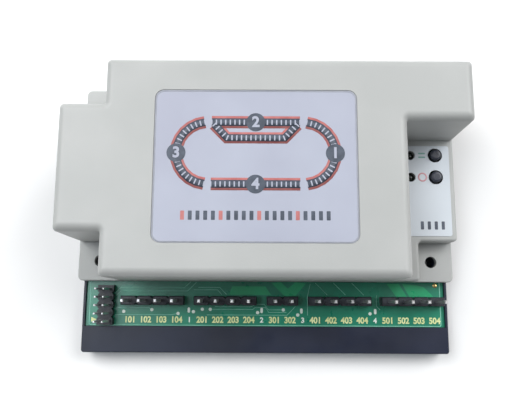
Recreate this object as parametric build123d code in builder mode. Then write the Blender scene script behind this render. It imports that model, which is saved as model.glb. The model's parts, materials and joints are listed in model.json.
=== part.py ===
"""Model railway power controller in a stepped two-part case.

A grey cover stands on a black base tray, with a circuit board clamped between
them. The front of the board is open and carries five terminal strips and a
ten-pin header. A low step at the right of the cover holds two push buttons
and two indicator lights; two network sockets open through the left wall and a
power socket opens through the right wall.

Millimetres. +X runs to the right, +Y to the back and +Z up. The origin is at
the middle of the underside of the whole object.
"""

import os

from build123d import *

# ---------------------------------------------------------------------------
# Driving dimensions
# ---------------------------------------------------------------------------

# Terminal strips along the front of the board
PITCH = 5.08  # pin spacing of the plug-on terminals
POLES = (4, 4, 2, 4, 4)  # pins in each strip, left to right
STRIP_GAP = 3.25  # free space between neighbouring strips
STRIP_DEPTH = 2.9
STRIP_HEIGHT = 3.6
PIN_WIDTH = 1.0
PIN_REACH = 9.7  # pin above its insulator
PIN_TAIL = 1.4  # pin below the board
PIN_TIP = 0.3  # chamfer at the pin's end
PIN_TIP_ANGLE = 30  # degrees
POLE_NOTCH = 0.8  # groove between two poles of a strip
STRIP_EDGE = 0.25

# Ten-pin header at the left end of the terminal row
HEADER_PITCH = 2.54
HEADER_ROWS = 5
HEADER_COLUMNS = 2
HEADER_HEIGHT = 2.5
HEADER_PIN_WIDTH = 0.64
HEADER_PIN_REACH = 8.3
HEADER_MARGIN = 4.2  # board edge to header
HEADER_GAP = 2.6  # header to first strip
HEADER_SETBACK = 0.35  # board front edge to header

# Circuit board
BOARD_THICKNESS = 1.6
BOARD_END_MARGIN = 0.66  # last strip to the board's right edge
BOARD_CLEARANCE = 0.1  # board to the tray's lip
TERMINAL_SETBACK = 8.2  # board front edge to the terminal row's centre
HOLE_CLEARANCE = 0.15  # radial, around pins and legs in the board

# Base tray
TRAY_FLOOR = 2.0
TRAY_CAVITY = 3.0  # free height under the board
TRAY_LIP = 0.8  # lip thickness beside the board
TRAY_LIP_RISE = 0.8  # lip above the board's top face
TRAY_LEDGE = 0.6  # ledge under the board's edges
SHELF_DEPTH = 8.3  # shelf in front of the board
SHELF_SKIN = 2.0
SHELF_CELLS = 5  # hollows under the shelf, with ribs between them
TRAY_CORNER = 0.9
TRAY_EDGE = 0.35
POST_DIAMETER = 7.2
POST_HOLE_CLEARANCE = 0.4  # radial, board hole around a tray post

# Cover
WALL = 2.0
DRAFT = 0.7  # degrees
COVER_SETBACK = 14.4  # board front edge to the cover's front wall
COVER_OVERHANG = 1.2  # cover outside the tray on each side
LAP_CLEARANCE = 0.15
LAP_DROP = 2.0  # skirt below the tray's rim
EAR_RISE = 3.26  # ear's top above the tray's rim
EAR_PLATE = 2.2
STEP_RISE = 9.95  # control step above the tray's rim
COVER_RISE = 32.6  # top face above the tray's rim
FRONT_EAR_DEPTH = 12.5
REAR_EAR_DEPTH = 13.5
LEFT_EAR_WIDTH = 13.3
STEP_WIDTH = 19.7  # control step, from the case's right side
RIGHT_EAR_WIDTH = 12.3
BACK_BLOCK_DEPTH = 19.0  # tall block behind the control step
BLOCK_CORNER = 1.2
BLOCK_EDGE = 2.5
STEP_CORNER = 1.2
STEP_ROOT = 8.0  # control step, carried on inside the tall block
STEP_EDGE = 0.9
EAR_CORNER = 1.6
EAR_EDGE = 0.4
FRONT_GAP = 0.1  # cover's front wall above the board
MOUNT_HOLE = 3.7  # diameter, for a number 6 wood screw
MOUNT_INSET_X = 6.95  # case side to a mounting hole's centre
MOUNT_INSET_Y = 6.4  # ear's front or back edge to a mounting hole's centre

# Case screws, from below into bosses in the cover
BOSS_DIAMETER = 6.4
BOSS_INSET = 6.6  # tall block's walls to a boss's centre
BOSS_JOINT_RISE = 1.4  # joint face above the board's top face
SCREW_SHANK = 2.9
SCREW_HEAD = 5.4
SCREW_HEAD_HEIGHT = 2.0
SCREW_LENGTH = 14.0
SCREW_SEAT = 3.0  # head seat above the underside
SCREW_CLEARANCE = 0.05
SCREW_PASS_CLEARANCE = 0.3
HEAD_CLEARANCE = 0.3
SCREW_HEAD_EDGE = 0.5
RECESS_WIDTH = 0.9  # cross recess in the head
RECESS_DEPTH = 1.2

# Labels
LABEL_THICKNESS = 0.2
LABEL_POCKET = 0.3
LABEL_GAP = 0.2  # groove around the top label
LABEL_SIDE_MARGIN = 15.2  # tall block's side walls to the top label
LABEL_FRONT_MARGIN = 9.8  # tall block's front wall to the top label
LABEL_BACK_MARGIN = 10.3  # tall block's back wall to the top label
LABEL_CORNER = 2.5
CONTROL_LABEL_MARGIN = 1.7
CONTROL_LABEL_CORNER = 0.8

# Push buttons and indicator lights on the control step
CONTROL_SPACING = 7.15  # front row to back row
CONTROL_SETBACK = 4.8  # step's back edge to the back row
BUTTON_INSET = 6.15  # case side to the buttons
LIGHT_INSET = 14.1  # case side to the lights
BUTTON_DIAMETER = 3.5
BUTTON_PROUD = 1.4  # button above the step
BUTTON_TRAVEL = 0.25
BUTTON_CLEARANCE = 0.55  # radial, in the cover
SWITCH_SIDE = 6.0
SWITCH_HEIGHT = 3.1
SWITCH_FLOOR = 0.9
SWITCH_PLATE = 0.3
SWITCH_RUNNING = 0.1  # radial clearance of the button in its switch
DOME_DIAMETER = 3.8
DOME_HEIGHT = 0.55
DOME_SHEET = 0.08
BUTTON_FOOT = 4.2
BUTTON_EDGE = 0.7
BUTTON_PLAY = 0.05  # free space over the foot, and under it at full travel
BLADE_THICKNESS = 0.3  # flat legs of the switches
BLADE_WIDTH = 0.7
BLADE_SPACING = 4.5
LIGHT_DIAMETER = 2.8
LIGHT_CLEARANCE = 0.1  # radial, in the cover
LIGHT_RECESS = 0.5
LIGHT_BODY = 4.6
LIGHT_FLANGE = 3.4
LIGHT_FLANGE_HEIGHT = 0.9
LIGHT_SPACER = 4.2

# Round-hole legs shared by the parts on the board
LEG_WIDTH = 0.5
LEG_PITCH = 2.54
LEG_TAIL = 1.2  # leg below the board

# Network sockets in the left wall
SOCKET_WIDTH = 13.2
SOCKET_LENGTH = 15.5
SOCKET_HEIGHT = 12.6
SOCKET_SPACING = 1.4
SOCKET_FLANK = 5.15  # sockets to the left block's outer faces
SOCKET_SETBACK = 0.6  # socket face inside the cover's side
MOUTH_WIDTH = 9.8
MOUTH_HEIGHT = 6.8
MOUTH_DEPTH = 12.0
MOUTH_RISE = 3.6  # mouth's floor above the board
LATCH_WIDTH = 6.2
LATCH_HEIGHT = 1.9
CONTACT_COUNT = 6
CONTACT_PITCH = 1.02
CONTACT_WIDTH = 0.45
CONTACT_THICKNESS = 0.35
CONTACT_DROP = 2.0  # contact tips below the mouth's roof
CONTACT_START = 2.5  # socket face to the contacts' bend
CONTACT_REACH = 5.5  # bend to tip, along the mouth
WINDOW_CLEARANCE = 0.3

# Power socket in the right wall
POWER_WIDTH = 9.0
POWER_LENGTH = 14.0
POWER_HEIGHT = 11.0
POWER_AXIS_RISE = 6.3  # bore axis above the board
POWER_BORE = 6.3
POWER_BORE_DEPTH = 10.0
POWER_PIN = 2.0
POWER_PIN_EDGE = 0.5
POWER_PIN_SETBACK = 1.0
POWER_SPRING_WIDTH = 2.4
POWER_SPRING_THICKNESS = 0.3

# Capacitors
CAPACITOR_COUNT = 3
CAPACITOR_DIAMETER = 12.5
CAPACITOR_HEIGHT = 20.0
CAPACITOR_PITCH = 14.0
CAPACITOR_SETBACK = 9.6  # cover's back wall to the row's centre
CAPACITOR_SLEEVE = 0.25
SLEEVE_EDGE = 0.2
CAPACITOR_SEAL = 1.6
CAPACITOR_RIM = 1.2  # width of the sleeve's turned-in edge under the can
VENT_LENGTH = 7.2  # pressure vent stamped in the can's top
VENT_WIDTH = 0.6
VENT_DEPTH = 0.4
CAPACITOR_LEG_PITCH = 5.0

# Sensing coils, one for each section of track
COIL_COUNT = 4
COIL_OUTER = 13.0
COIL_INNER = 6.0
COIL_THICKNESS = 5.5
COIL_WIRE = 0.8
COIL_SLACK = 0.05  # winding around its core
COIL_TURNS = 10  # an even number, so that two turns stand opposite each other
COIL_PITCH = 16.5
COIL_SETBACK = 21.6  # cover's front wall to the coil row's centre

# Power transistors
TRANSISTOR_COUNT = 8
TRANSISTOR_PITCH = 7.8
TRANSISTOR_SETBACK = 9.2  # cover's front wall to the transistor row's centre
TRANSISTOR_WIDTH = 6.6
TRANSISTOR_DEPTH = 6.1
TRANSISTOR_HEIGHT = 2.3
TAB_WIDTH = 5.4
TAB_REACH = 1.2  # tab beyond the body
TAB_THICKNESS = 0.5
FOOT_WIDTH = 0.8
FOOT_REACH = 2.4
FOOT_SPACING = 4.6

# Microcontroller and its crystal
CHIP_SIDE = 12.0
CHIP_HEIGHT = 1.4
CHIP_LEADS = 11  # on each side
CHIP_LEAD_PITCH = 0.8
CHIP_LEAD_WIDTH = 0.35
CHIP_LEAD_REACH = 1.0
CHIP_LEAD_THICKNESS = 0.2
CHIP_STANDOFF = 0.15
CHIP_SETBACK = 38.4  # cover's front wall to the chip's centre
CRYSTAL_LENGTH = 10.2
CRYSTAL_DEPTH = 3.8
CRYSTAL_HEIGHT = 3.4
CRYSTAL_RIM = 0.5
CRYSTAL_BASE = 0.5
CRYSTAL_LEG_PITCH = 4.9
CRYSTAL_GAP = 4.0  # chip's leads to the crystal's rim

# Voltage regulator on its heatsink
HEATSINK_WIDTH = 24.0
HEATSINK_DEPTH = 9.0
HEATSINK_HEIGHT = 20.0
HEATSINK_SHEET = 1.5
HEATSINK_INSET = 18.0  # tall block's right wall to the heatsink's middle
REGULATOR_WIDTH = 10.2
REGULATOR_BODY_HEIGHT = 9.0
REGULATOR_TAB_HEIGHT = 15.6
REGULATOR_TAB_THICKNESS = 1.3
REGULATOR_BODY_THICKNESS = 4.4
REGULATOR_RISE = 3.4  # regulator above the board
REGULATOR_HOLE_DROP = 2.8  # tab's top edge to the screw
HEATSINK_SCREW = 3.0
HEATSINK_SCREW_HEAD = 5.6
HEATSINK_SCREW_HEAD_HEIGHT = 1.8
HEATSINK_NUT = 5.5  # across flats
HEATSINK_NUT_HEIGHT = 2.4

# Chip resistors and chip capacitors
CHIP_PART_LENGTH = 2.0
CHIP_PART_WIDTH = 1.25
CHIP_PART_HEIGHT = 0.6
RESISTOR_SETBACK = 3.9  # cover's front wall to the resistor row's centre
DECOUPLER_GAP = 1.2  # chip's leads to the small capacitors

# ---------------------------------------------------------------------------
# Places worked out from the driving dimensions
# ---------------------------------------------------------------------------

strip_run = sum(POLES) * PITCH + (len(POLES) - 1) * STRIP_GAP
header_width = HEADER_COLUMNS * HEADER_PITCH
header_depth = HEADER_ROWS * HEADER_PITCH
board_width = HEADER_MARGIN + header_width + HEADER_GAP + strip_run + BOARD_END_MARGIN
tray_width = board_width + 2 * (BOARD_CLEARANCE + TRAY_LIP)
case_width = tray_width + 2 * COVER_OVERHANG

left_block_depth = 2 * SOCKET_WIDTH + SOCKET_SPACING + 2 * SOCKET_FLANK
cover_depth = FRONT_EAR_DEPTH + left_block_depth + REAR_EAR_DEPTH
case_depth = SHELF_DEPTH + BOARD_CLEARANCE + COVER_SETBACK + cover_depth

case_left = -case_width / 2
case_right = case_width / 2
case_front = -case_depth / 2
case_back = case_depth / 2

board_left = -board_width / 2
board_front = case_front + SHELF_DEPTH + BOARD_CLEARANCE
tray_back = case_back - COVER_OVERHANG
board_back = tray_back - TRAY_LIP - BOARD_CLEARANCE
board_depth = board_back - board_front
board_under = TRAY_FLOOR + TRAY_CAVITY
board_top = board_under + BOARD_THICKNESS
rim_z = board_top + TRAY_LIP_RISE
ear_z = rim_z + EAR_RISE
step_z = rim_z + STEP_RISE
top_z = rim_z + COVER_RISE
joint_z = board_top + BOSS_JOINT_RISE

cover_front = board_front + COVER_SETBACK
main_left = case_left + LEFT_EAR_WIDTH
main_right = case_right - STEP_WIDTH
main_middle = (main_left + main_right) / 2
left_block_front = cover_front + FRONT_EAR_DEPTH
left_block_back = left_block_front + left_block_depth
step_back = case_back - BACK_BLOCK_DEPTH
step_front = left_block_front
right_ear_left = case_right - RIGHT_EAR_WIDTH

terminal_y = board_front + TERMINAL_SETBACK
header_x = board_left + HEADER_MARGIN + header_width / 2
header_y = board_front + HEADER_SETBACK + header_depth / 2

mount_x = case_right - MOUNT_INSET_X
mount_y = cover_front + MOUNT_INSET_Y
rear_mount_y = case_back - MOUNT_INSET_Y
mount_spots = [(-mount_x, mount_y), (mount_x, mount_y), (-mount_x, rear_mount_y)]
boss_spots = [
    (x, y)
    for x in (main_left + BOSS_INSET, main_right - BOSS_INSET)
    for y in (cover_front + BOSS_INSET, case_back - BOSS_INSET)
]

button_x = case_right - BUTTON_INSET
light_x = case_right - LIGHT_INSET
control_rows = [step_back - CONTROL_SETBACK, step_back - CONTROL_SETBACK - CONTROL_SPACING]

socket_face = case_left + SOCKET_SETBACK
socket_middle = (left_block_front + left_block_back) / 2
socket_rows = [socket_middle - (SOCKET_WIDTH + SOCKET_SPACING) / 2,
               socket_middle + (SOCKET_WIDTH + SOCKET_SPACING) / 2]
power_face = case_right - SOCKET_SETBACK
power_y = (step_back + case_back) / 2
power_axis_z = board_top + POWER_AXIS_RISE

coil_y = cover_front + COIL_SETBACK
coil_z = board_top + COIL_WIRE + COIL_SLACK  # underside of the coils' cores
coil_spots = [
    (main_middle + (i - (COIL_COUNT - 1) / 2) * COIL_PITCH, coil_y) for i in range(COIL_COUNT)
]
capacitor_y = case_back - CAPACITOR_SETBACK
capacitor_middle = main_left + BOSS_INSET + (CAPACITOR_COUNT / 2 + 0.5) * CAPACITOR_PITCH
capacitor_spots = [
    (capacitor_middle + (i - (CAPACITOR_COUNT - 1) / 2) * CAPACITOR_PITCH, capacitor_y)
    for i in range(CAPACITOR_COUNT)
]
transistor_y = cover_front + TRANSISTOR_SETBACK
transistor_spots = [
    (main_middle + (i - (TRANSISTOR_COUNT - 1) / 2) * TRANSISTOR_PITCH, transistor_y)
    for i in range(TRANSISTOR_COUNT)
]
chip_x = (socket_face + SOCKET_LENGTH + main_middle) / 2
chip_y = cover_front + CHIP_SETBACK
chip_half = CHIP_SIDE / 2 + CHIP_LEAD_REACH
crystal_x = chip_x + chip_half + CRYSTAL_GAP + CRYSTAL_DEPTH / 2 + CRYSTAL_RIM
heatsink_x = main_right - HEATSINK_INSET
heatsink_y = chip_y + HEATSINK_DEPTH / 2  # heatsink's back plate
regulator_y = heatsink_y - HEATSINK_SHEET  # where the regulator's tab meets the plate
regulator_leg_y = regulator_y - REGULATOR_TAB_THICKNESS - LEG_WIDTH / 2
regulator_top = board_top + REGULATOR_RISE + REGULATOR_TAB_HEIGHT
heatsink_screw_z = regulator_top - REGULATOR_HOLE_DROP
light_base_z = step_z - LIGHT_RECESS - LIGHT_BODY


def strip_centres():
    """(x of the strip's middle, number of poles) of each terminal strip, left to right."""
    start = board_left + HEADER_MARGIN + header_width + HEADER_GAP
    places = []
    for poles in POLES:
        length = poles * PITCH
        places.append((start + length / 2, poles))
        start += length + STRIP_GAP
    return places


def pin_spots():
    """Every terminal pin's place on the board."""
    return [
        (middle + (i - (poles - 1) / 2) * PITCH, terminal_y)
        for middle, poles in strip_centres()
        for i in range(poles)
    ]


def header_spots():
    """Every header pin's place on the board."""
    return [
        (header_x + (i - (HEADER_COLUMNS - 1) / 2) * HEADER_PITCH,
         header_y + (j - (HEADER_ROWS - 1) / 2) * HEADER_PITCH)
        for i in range(HEADER_COLUMNS)
        for j in range(HEADER_ROWS)
    ]


def paired(spots, pitch, along_y=False):
    """Two places for each spot, a pitch apart along X or along Y."""
    half_x, half_y = (0, pitch / 2) if along_y else (pitch / 2, 0)
    return [(x + side * half_x, y + side * half_y) for x, y in spots for side in (-1, 1)]


light_spots = [(light_x, y) for y in control_rows]
button_spots = [(button_x, y) for y in control_rows]
light_legs = paired(light_spots, LEG_PITCH, along_y=True)
capacitor_legs = paired(capacitor_spots, CAPACITOR_LEG_PITCH)
coil_legs = paired(coil_spots, COIL_OUTER + 2 * COIL_SLACK + COIL_WIRE)
crystal_legs = paired([(crystal_x, chip_y)], CRYSTAL_LEG_PITCH, along_y=True)
regulator_legs = [(heatsink_x + i * LEG_PITCH, regulator_leg_y) for i in (-1, 0, 1)]
switch_legs = paired(paired(button_spots, SWITCH_SIDE + BLADE_THICKNESS), BLADE_SPACING, along_y=True)
contact_x = socket_face + MOUTH_DEPTH + (SOCKET_LENGTH - MOUTH_DEPTH) / 2
contact_rows = [(i - (CONTACT_COUNT - 1) / 2) * CONTACT_PITCH for i in range(CONTACT_COUNT)]
power_pin_leg_x = power_face - POWER_LENGTH
power_spring_leg_x = power_face - POWER_LENGTH / 2


def rising(edge):
    """True for an edge that climbs a wall."""
    return abs(edge.tangent_at(0.5).Z) > 0.5


os.makedirs("parts", exist_ok=True)


def save(part, name):
    """Labels a finished piece and writes it as parts/NAME.step."""
    part.label = name
    export_step(part, f"parts/{name}.step")


# ---------------------------------------------------------------------------
# Base tray: floor, walls with a ledge and a lip for the board, front shelf,
# posts for the mounting holes and for the case screws
# ---------------------------------------------------------------------------

tray_middle_y = (case_front + tray_back) / 2
cavity_front = board_front + TRAY_LEDGE
cavity_back = board_back - TRAY_LEDGE
cavity_width = board_width - 2 * TRAY_LEDGE
shelf_hollow = SHELF_DEPTH - 2 * SHELF_SKIN

with BuildPart() as base_tray:
    with BuildSketch(Plane.XY):
        with Locations((0, tray_middle_y)):
            RectangleRounded(tray_width, tray_back - case_front, TRAY_CORNER)
    extrude(amount=rim_z)
    fillet(base_tray.edges().group_by(Axis.Z)[-1], TRAY_EDGE)
    # pocket that the board drops into
    with BuildSketch(Plane.XY.offset(board_under)):
        with Locations((0, (board_front + board_back) / 2)):
            Rectangle(board_width + 2 * BOARD_CLEARANCE, board_depth + 2 * BOARD_CLEARANCE)
    extrude(amount=rim_z, mode=Mode.SUBTRACT)
    # free space under the board
    with BuildSketch(Plane.XY.offset(TRAY_FLOOR)):
        with Locations((0, (cavity_front + cavity_back) / 2)):
            Rectangle(cavity_width, cavity_back - cavity_front)
    extrude(amount=rim_z, mode=Mode.SUBTRACT)
    # the shelf is hollow from below, in cells between ribs
    cell_width = (tray_width - (SHELF_CELLS + 1) * SHELF_SKIN) / SHELF_CELLS
    with BuildSketch(Plane.XY):
        with Locations((0, case_front + SHELF_DEPTH / 2)):
            with GridLocations(cell_width + SHELF_SKIN, 1, SHELF_CELLS, 1):
                Rectangle(cell_width, shelf_hollow)
    extrude(amount=rim_z - SHELF_SKIN, mode=Mode.SUBTRACT)
    # posts
    with BuildSketch(Plane.XY.offset(TRAY_FLOOR)):
        with Locations(*mount_spots):
            Circle(POST_DIAMETER / 2)
    extrude(amount=ear_z - EAR_PLATE - TRAY_FLOOR)
    with BuildSketch(Plane.XY.offset(TRAY_FLOOR)):
        with Locations(*boss_spots):
            Circle(POST_DIAMETER / 2)
    extrude(amount=joint_z - TRAY_FLOOR)
    with BuildSketch(Plane.XY):
        with Locations(*mount_spots):
            Circle(MOUNT_HOLE / 2)
        with Locations(*boss_spots):
            Circle(SCREW_SHANK / 2 + SCREW_PASS_CLEARANCE)
    extrude(amount=rim_z + EAR_RISE, mode=Mode.SUBTRACT)
    with BuildSketch(Plane.XY):
        with Locations(*boss_spots):
            Circle(SCREW_HEAD / 2 + HEAD_CLEARANCE)
    extrude(amount=SCREW_SEAT, mode=Mode.SUBTRACT)
    # the lip is cut away where the sockets reach over the board's edge
    with BuildSketch(Plane.XY.offset(board_top)):
        with Locations(*[(-tray_width / 2, y) for y in socket_rows]):
            Rectangle(2 * (TRAY_LIP + BOARD_CLEARANCE), SOCKET_WIDTH + 2 * WINDOW_CLEARANCE)
        with Locations((tray_width / 2, power_y)):
            Rectangle(2 * (TRAY_LIP + BOARD_CLEARANCE), POWER_WIDTH + 2 * WINDOW_CLEARANCE)
    extrude(amount=rim_z, mode=Mode.SUBTRACT)
save(base_tray.part, "base_tray")

# ---------------------------------------------------------------------------
# Cover: tall blocks, control step and ears, hollowed to one wall thickness
# ---------------------------------------------------------------------------

tall_outline = [
    (main_left, cover_front), (main_right, cover_front),
    (main_right, step_back), (case_right, step_back),
    (case_right, case_back), (main_left, case_back),
    (main_left, left_block_back), (case_left, left_block_back),
    (case_left, left_block_front), (main_left, left_block_front),
]
step_outline = [
    (main_right - STEP_ROOT, cover_front), (right_ear_left, cover_front),
    (right_ear_left, step_front), (case_right, step_front),
    (case_right, power_y), (main_right - STEP_ROOT, power_y),
]

with BuildPart() as tall_blocks:
    with BuildSketch(Plane.XY.offset(rim_z)):
        with BuildLine():
            Polyline(*tall_outline, close=True)
        make_face()
    extrude(amount=COVER_RISE, taper=DRAFT)
    fillet(tall_blocks.edges().filter_by(rising), BLOCK_CORNER)
    fillet(tall_blocks.edges().group_by(Axis.Z)[-1], BLOCK_EDGE)

with BuildPart() as tall_hollow:
    with BuildSketch(Plane.XY.offset(rim_z)):
        with BuildLine():
            Polyline(*tall_outline, close=True)
        make_face()
        offset(amount=-WALL, kind=Kind.INTERSECTION, mode=Mode.REPLACE)
    extrude(amount=COVER_RISE - WALL, taper=DRAFT)

with BuildPart() as step_block:
    with BuildSketch(Plane.XY.offset(rim_z)) as step_foot:
        with BuildLine():
            Polyline(*step_outline, close=True)
        make_face()
        fillet(step_foot.vertices().filter_by(lambda v: v.X > main_right and v.Y < step_back), STEP_CORNER)
    extrude(amount=STEP_RISE, taper=DRAFT)
    fillet(step_block.edges().group_by(Axis.Z)[-1], STEP_EDGE)

with BuildPart() as step_hollow:
    with BuildSketch(Plane.XY.offset(rim_z)):
        with BuildLine():
            Polyline(*step_outline, close=True)
        make_face()
        offset(amount=-WALL, kind=Kind.INTERSECTION, mode=Mode.REPLACE)
    extrude(amount=STEP_RISE - WALL, taper=DRAFT)

cover_middle_y = (cover_front + case_back) / 2
label_width = main_right - main_left - 2 * LABEL_SIDE_MARGIN
label_depth = cover_depth - LABEL_FRONT_MARGIN - LABEL_BACK_MARGIN
label_y = cover_front + LABEL_FRONT_MARGIN + label_depth / 2

with BuildPart() as top_cover:
    # ears and rim
    with BuildSketch(Plane.XY.offset(rim_z)):
        with Locations((0, cover_middle_y)):
            RectangleRounded(case_width, cover_depth, EAR_CORNER)
    extrude(amount=EAR_RISE)
    fillet(top_cover.edges().group_by(Axis.Z)[-1], EAR_EDGE)
    add(tall_blocks.part)
    add(step_block.part)
    # skirt around the tray's rim, open at the front
    with BuildSketch(Plane.XY.offset(rim_z - LAP_DROP)):
        with Locations((0, cover_middle_y)):
            RectangleRounded(case_width, cover_depth, EAR_CORNER)
        with Locations((0, cover_front + (tray_back + LAP_CLEARANCE - cover_front) / 2)):
            Rectangle(tray_width + 2 * LAP_CLEARANCE,
                      tray_back + LAP_CLEARANCE - cover_front, mode=Mode.SUBTRACT)
    extrude(amount=LAP_DROP)
    # hollow
    with BuildSketch(Plane.XY.offset(rim_z)):
        with Locations((0, cover_middle_y)):
            Rectangle(case_width - 2 * WALL, cover_depth - 2 * WALL)
    extrude(amount=EAR_RISE - EAR_PLATE, mode=Mode.SUBTRACT)
    add(tall_hollow.part, mode=Mode.SUBTRACT)
    add(step_hollow.part, mode=Mode.SUBTRACT)
    # front wall reaches down towards the board between the tray's lips
    with BuildSketch(Plane.XY.offset(board_top + FRONT_GAP)):
        with Locations((0, cover_front + WALL / 2)):
            Rectangle(board_width - 2 * BOARD_CLEARANCE, WALL)
    extrude(amount=rim_z - board_top - FRONT_GAP)
    # bosses for the case screws
    with BuildSketch(Plane.XY.offset(joint_z)):
        with Locations(*boss_spots):
            Circle(BOSS_DIAMETER / 2)
    extrude(amount=top_z - WALL / 2 - joint_z)
    with BuildSketch(Plane.XY.offset(joint_z)):
        with Locations(*boss_spots):
            Circle(SCREW_SHANK / 2 + SCREW_CLEARANCE)
    extrude(amount=SCREW_LENGTH, mode=Mode.SUBTRACT)
    # mounting holes through the ears
    with BuildSketch(Plane.XY.offset(rim_z)):
        with Locations(*mount_spots):
            Circle(MOUNT_HOLE / 2)
    extrude(amount=EAR_RISE, mode=Mode.SUBTRACT)
    # holes for the buttons and the lights
    with BuildSketch(Plane.XY.offset(rim_z + EAR_RISE)):
        with Locations(*button_spots):
            Circle(BUTTON_DIAMETER / 2 + BUTTON_CLEARANCE)
        with Locations(*light_spots):
            Circle(LIGHT_DIAMETER / 2 + LIGHT_CLEARANCE)
    extrude(amount=STEP_RISE - EAR_RISE, mode=Mode.SUBTRACT)
    # windows for the sockets
    with BuildSketch(Plane.XY.offset(board_top)):
        with Locations(*[(case_left, y) for y in socket_rows]):
            Rectangle(4 * WALL, SOCKET_WIDTH + 2 * WINDOW_CLEARANCE)
    extrude(amount=SOCKET_HEIGHT + WINDOW_CLEARANCE, mode=Mode.SUBTRACT)
    with BuildSketch(Plane.XY.offset(board_top)):
        with Locations((case_right, power_y)):
            Rectangle(4 * WALL, POWER_WIDTH + 2 * WINDOW_CLEARANCE)
    extrude(amount=POWER_HEIGHT + WINDOW_CLEARANCE, mode=Mode.SUBTRACT)
    # shallow pocket for the top label
    with BuildSketch(Plane.XY.offset(top_z - LABEL_POCKET)):
        with Locations((main_middle, label_y)):
            RectangleRounded(label_width + 2 * LABEL_GAP, label_depth + 2 * LABEL_GAP,
                             LABEL_CORNER + LABEL_GAP)
    extrude(amount=2 * LABEL_POCKET, mode=Mode.SUBTRACT)
save(top_cover.part, "top_cover")

# ---------------------------------------------------------------------------
# Labels
# ---------------------------------------------------------------------------

with BuildPart() as top_label:
    with BuildSketch(Plane.XY.offset(top_z - LABEL_POCKET)):
        with Locations((main_middle, label_y)):
            RectangleRounded(label_width, label_depth, LABEL_CORNER)
    extrude(amount=LABEL_THICKNESS)
save(top_label.part, "top_label")

control_label_left = main_right + CONTROL_LABEL_MARGIN
control_label_width = case_right - CONTROL_LABEL_MARGIN - control_label_left
control_label_depth = step_back - step_front - 2 * CONTROL_LABEL_MARGIN

with BuildPart() as control_label:
    with BuildSketch(Plane.XY.offset(step_z)):
        with Locations((control_label_left + control_label_width / 2, (step_front + step_back) / 2)):
            RectangleRounded(control_label_width, control_label_depth, CONTROL_LABEL_CORNER)
        with Locations(*button_spots):
            Circle(BUTTON_DIAMETER / 2 + BUTTON_CLEARANCE, mode=Mode.SUBTRACT)
        with Locations(*light_spots):
            Circle(LIGHT_DIAMETER / 2 + LIGHT_CLEARANCE, mode=Mode.SUBTRACT)
    extrude(amount=LABEL_THICKNESS)
save(control_label.part, "control_label")

# ---------------------------------------------------------------------------
# Circuit board, with a hole for every post, pin and leg
# ---------------------------------------------------------------------------


def hole_radius(width, depth):
    """Radius of the board hole around a rectangular leg."""
    return (width**2 + depth**2) ** 0.5 / 2 + HOLE_CLEARANCE


with BuildPart() as circuit_board:
    with BuildSketch(Plane.XY.offset(board_under)):
        with Locations((0, (board_front + board_back) / 2)):
            Rectangle(board_width, board_depth)
        with Locations(*mount_spots, *boss_spots):
            Circle(POST_DIAMETER / 2 + POST_HOLE_CLEARANCE, mode=Mode.SUBTRACT)
        with Locations(*pin_spots()):
            Circle(hole_radius(PIN_WIDTH, PIN_WIDTH), mode=Mode.SUBTRACT)
        with Locations(*header_spots()):
            Circle(hole_radius(HEADER_PIN_WIDTH, HEADER_PIN_WIDTH), mode=Mode.SUBTRACT)
        with Locations(*light_legs, *capacitor_legs, *crystal_legs, *regulator_legs):
            Circle(hole_radius(LEG_WIDTH, LEG_WIDTH), mode=Mode.SUBTRACT)
        with Locations(*coil_legs):
            Circle(hole_radius(COIL_WIRE, COIL_WIRE), mode=Mode.SUBTRACT)
        with Locations(*switch_legs):
            Circle(hole_radius(BLADE_THICKNESS, BLADE_WIDTH), mode=Mode.SUBTRACT)
        with Locations(*[(contact_x, row + offset) for row in socket_rows for offset in contact_rows]):
            Circle(hole_radius(CONTACT_THICKNESS, CONTACT_WIDTH), mode=Mode.SUBTRACT)
        with Locations((power_pin_leg_x, power_y), (power_spring_leg_x, power_y)):
            Circle(hole_radius(POWER_SPRING_THICKNESS, POWER_SPRING_WIDTH), mode=Mode.SUBTRACT)
    extrude(amount=BOARD_THICKNESS)
save(circuit_board.part, "circuit_board")

# ---------------------------------------------------------------------------
# Terminal strips and the ten-pin header
# ---------------------------------------------------------------------------


def square_pins(spots, width, bottom, top):
    """Square pins with tapered tips, one solid at each spot."""
    with BuildPart() as pins:
        for spot in spots:
            with BuildSketch(Plane.XY.offset(bottom)):
                with Locations(spot):
                    Rectangle(width, width)
            extrude(amount=top - PIN_TIP - bottom)
            with BuildSketch(Plane.XY.offset(top - PIN_TIP)):
                with Locations(spot):
                    Rectangle(width, width)
            extrude(amount=PIN_TIP, taper=PIN_TIP_ANGLE)
    return pins.part


for number, (middle, poles) in enumerate(strip_centres(), start=1):
    length = poles * PITCH
    spots = [(middle + (i - (poles - 1) / 2) * PITCH, terminal_y) for i in range(poles)]
    with BuildPart() as terminal_strip:
        with BuildSketch(Plane.XY.offset(board_top)):
            with Locations((middle, terminal_y)):
                Rectangle(length, STRIP_DEPTH)
            with Locations(*[(middle + (i - poles / 2) * PITCH, terminal_y + side * STRIP_DEPTH / 2)
                             for i in range(1, poles) for side in (-1, 1)]):
                Rectangle(POLE_NOTCH, POLE_NOTCH, rotation=45, mode=Mode.SUBTRACT)
        extrude(amount=STRIP_HEIGHT)
        chamfer(terminal_strip.edges().group_by(Axis.Z)[-1], STRIP_EDGE)
        with BuildSketch(Plane.XY.offset(board_top)):
            with Locations(*spots):
                Rectangle(PIN_WIDTH, PIN_WIDTH)
        extrude(amount=STRIP_HEIGHT, mode=Mode.SUBTRACT)
    save(terminal_strip.part, f"terminal_strip_{number}")
    save(square_pins(spots, PIN_WIDTH, board_under - PIN_TAIL, board_top + STRIP_HEIGHT + PIN_REACH),
         f"terminal_pins_{number}")

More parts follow.
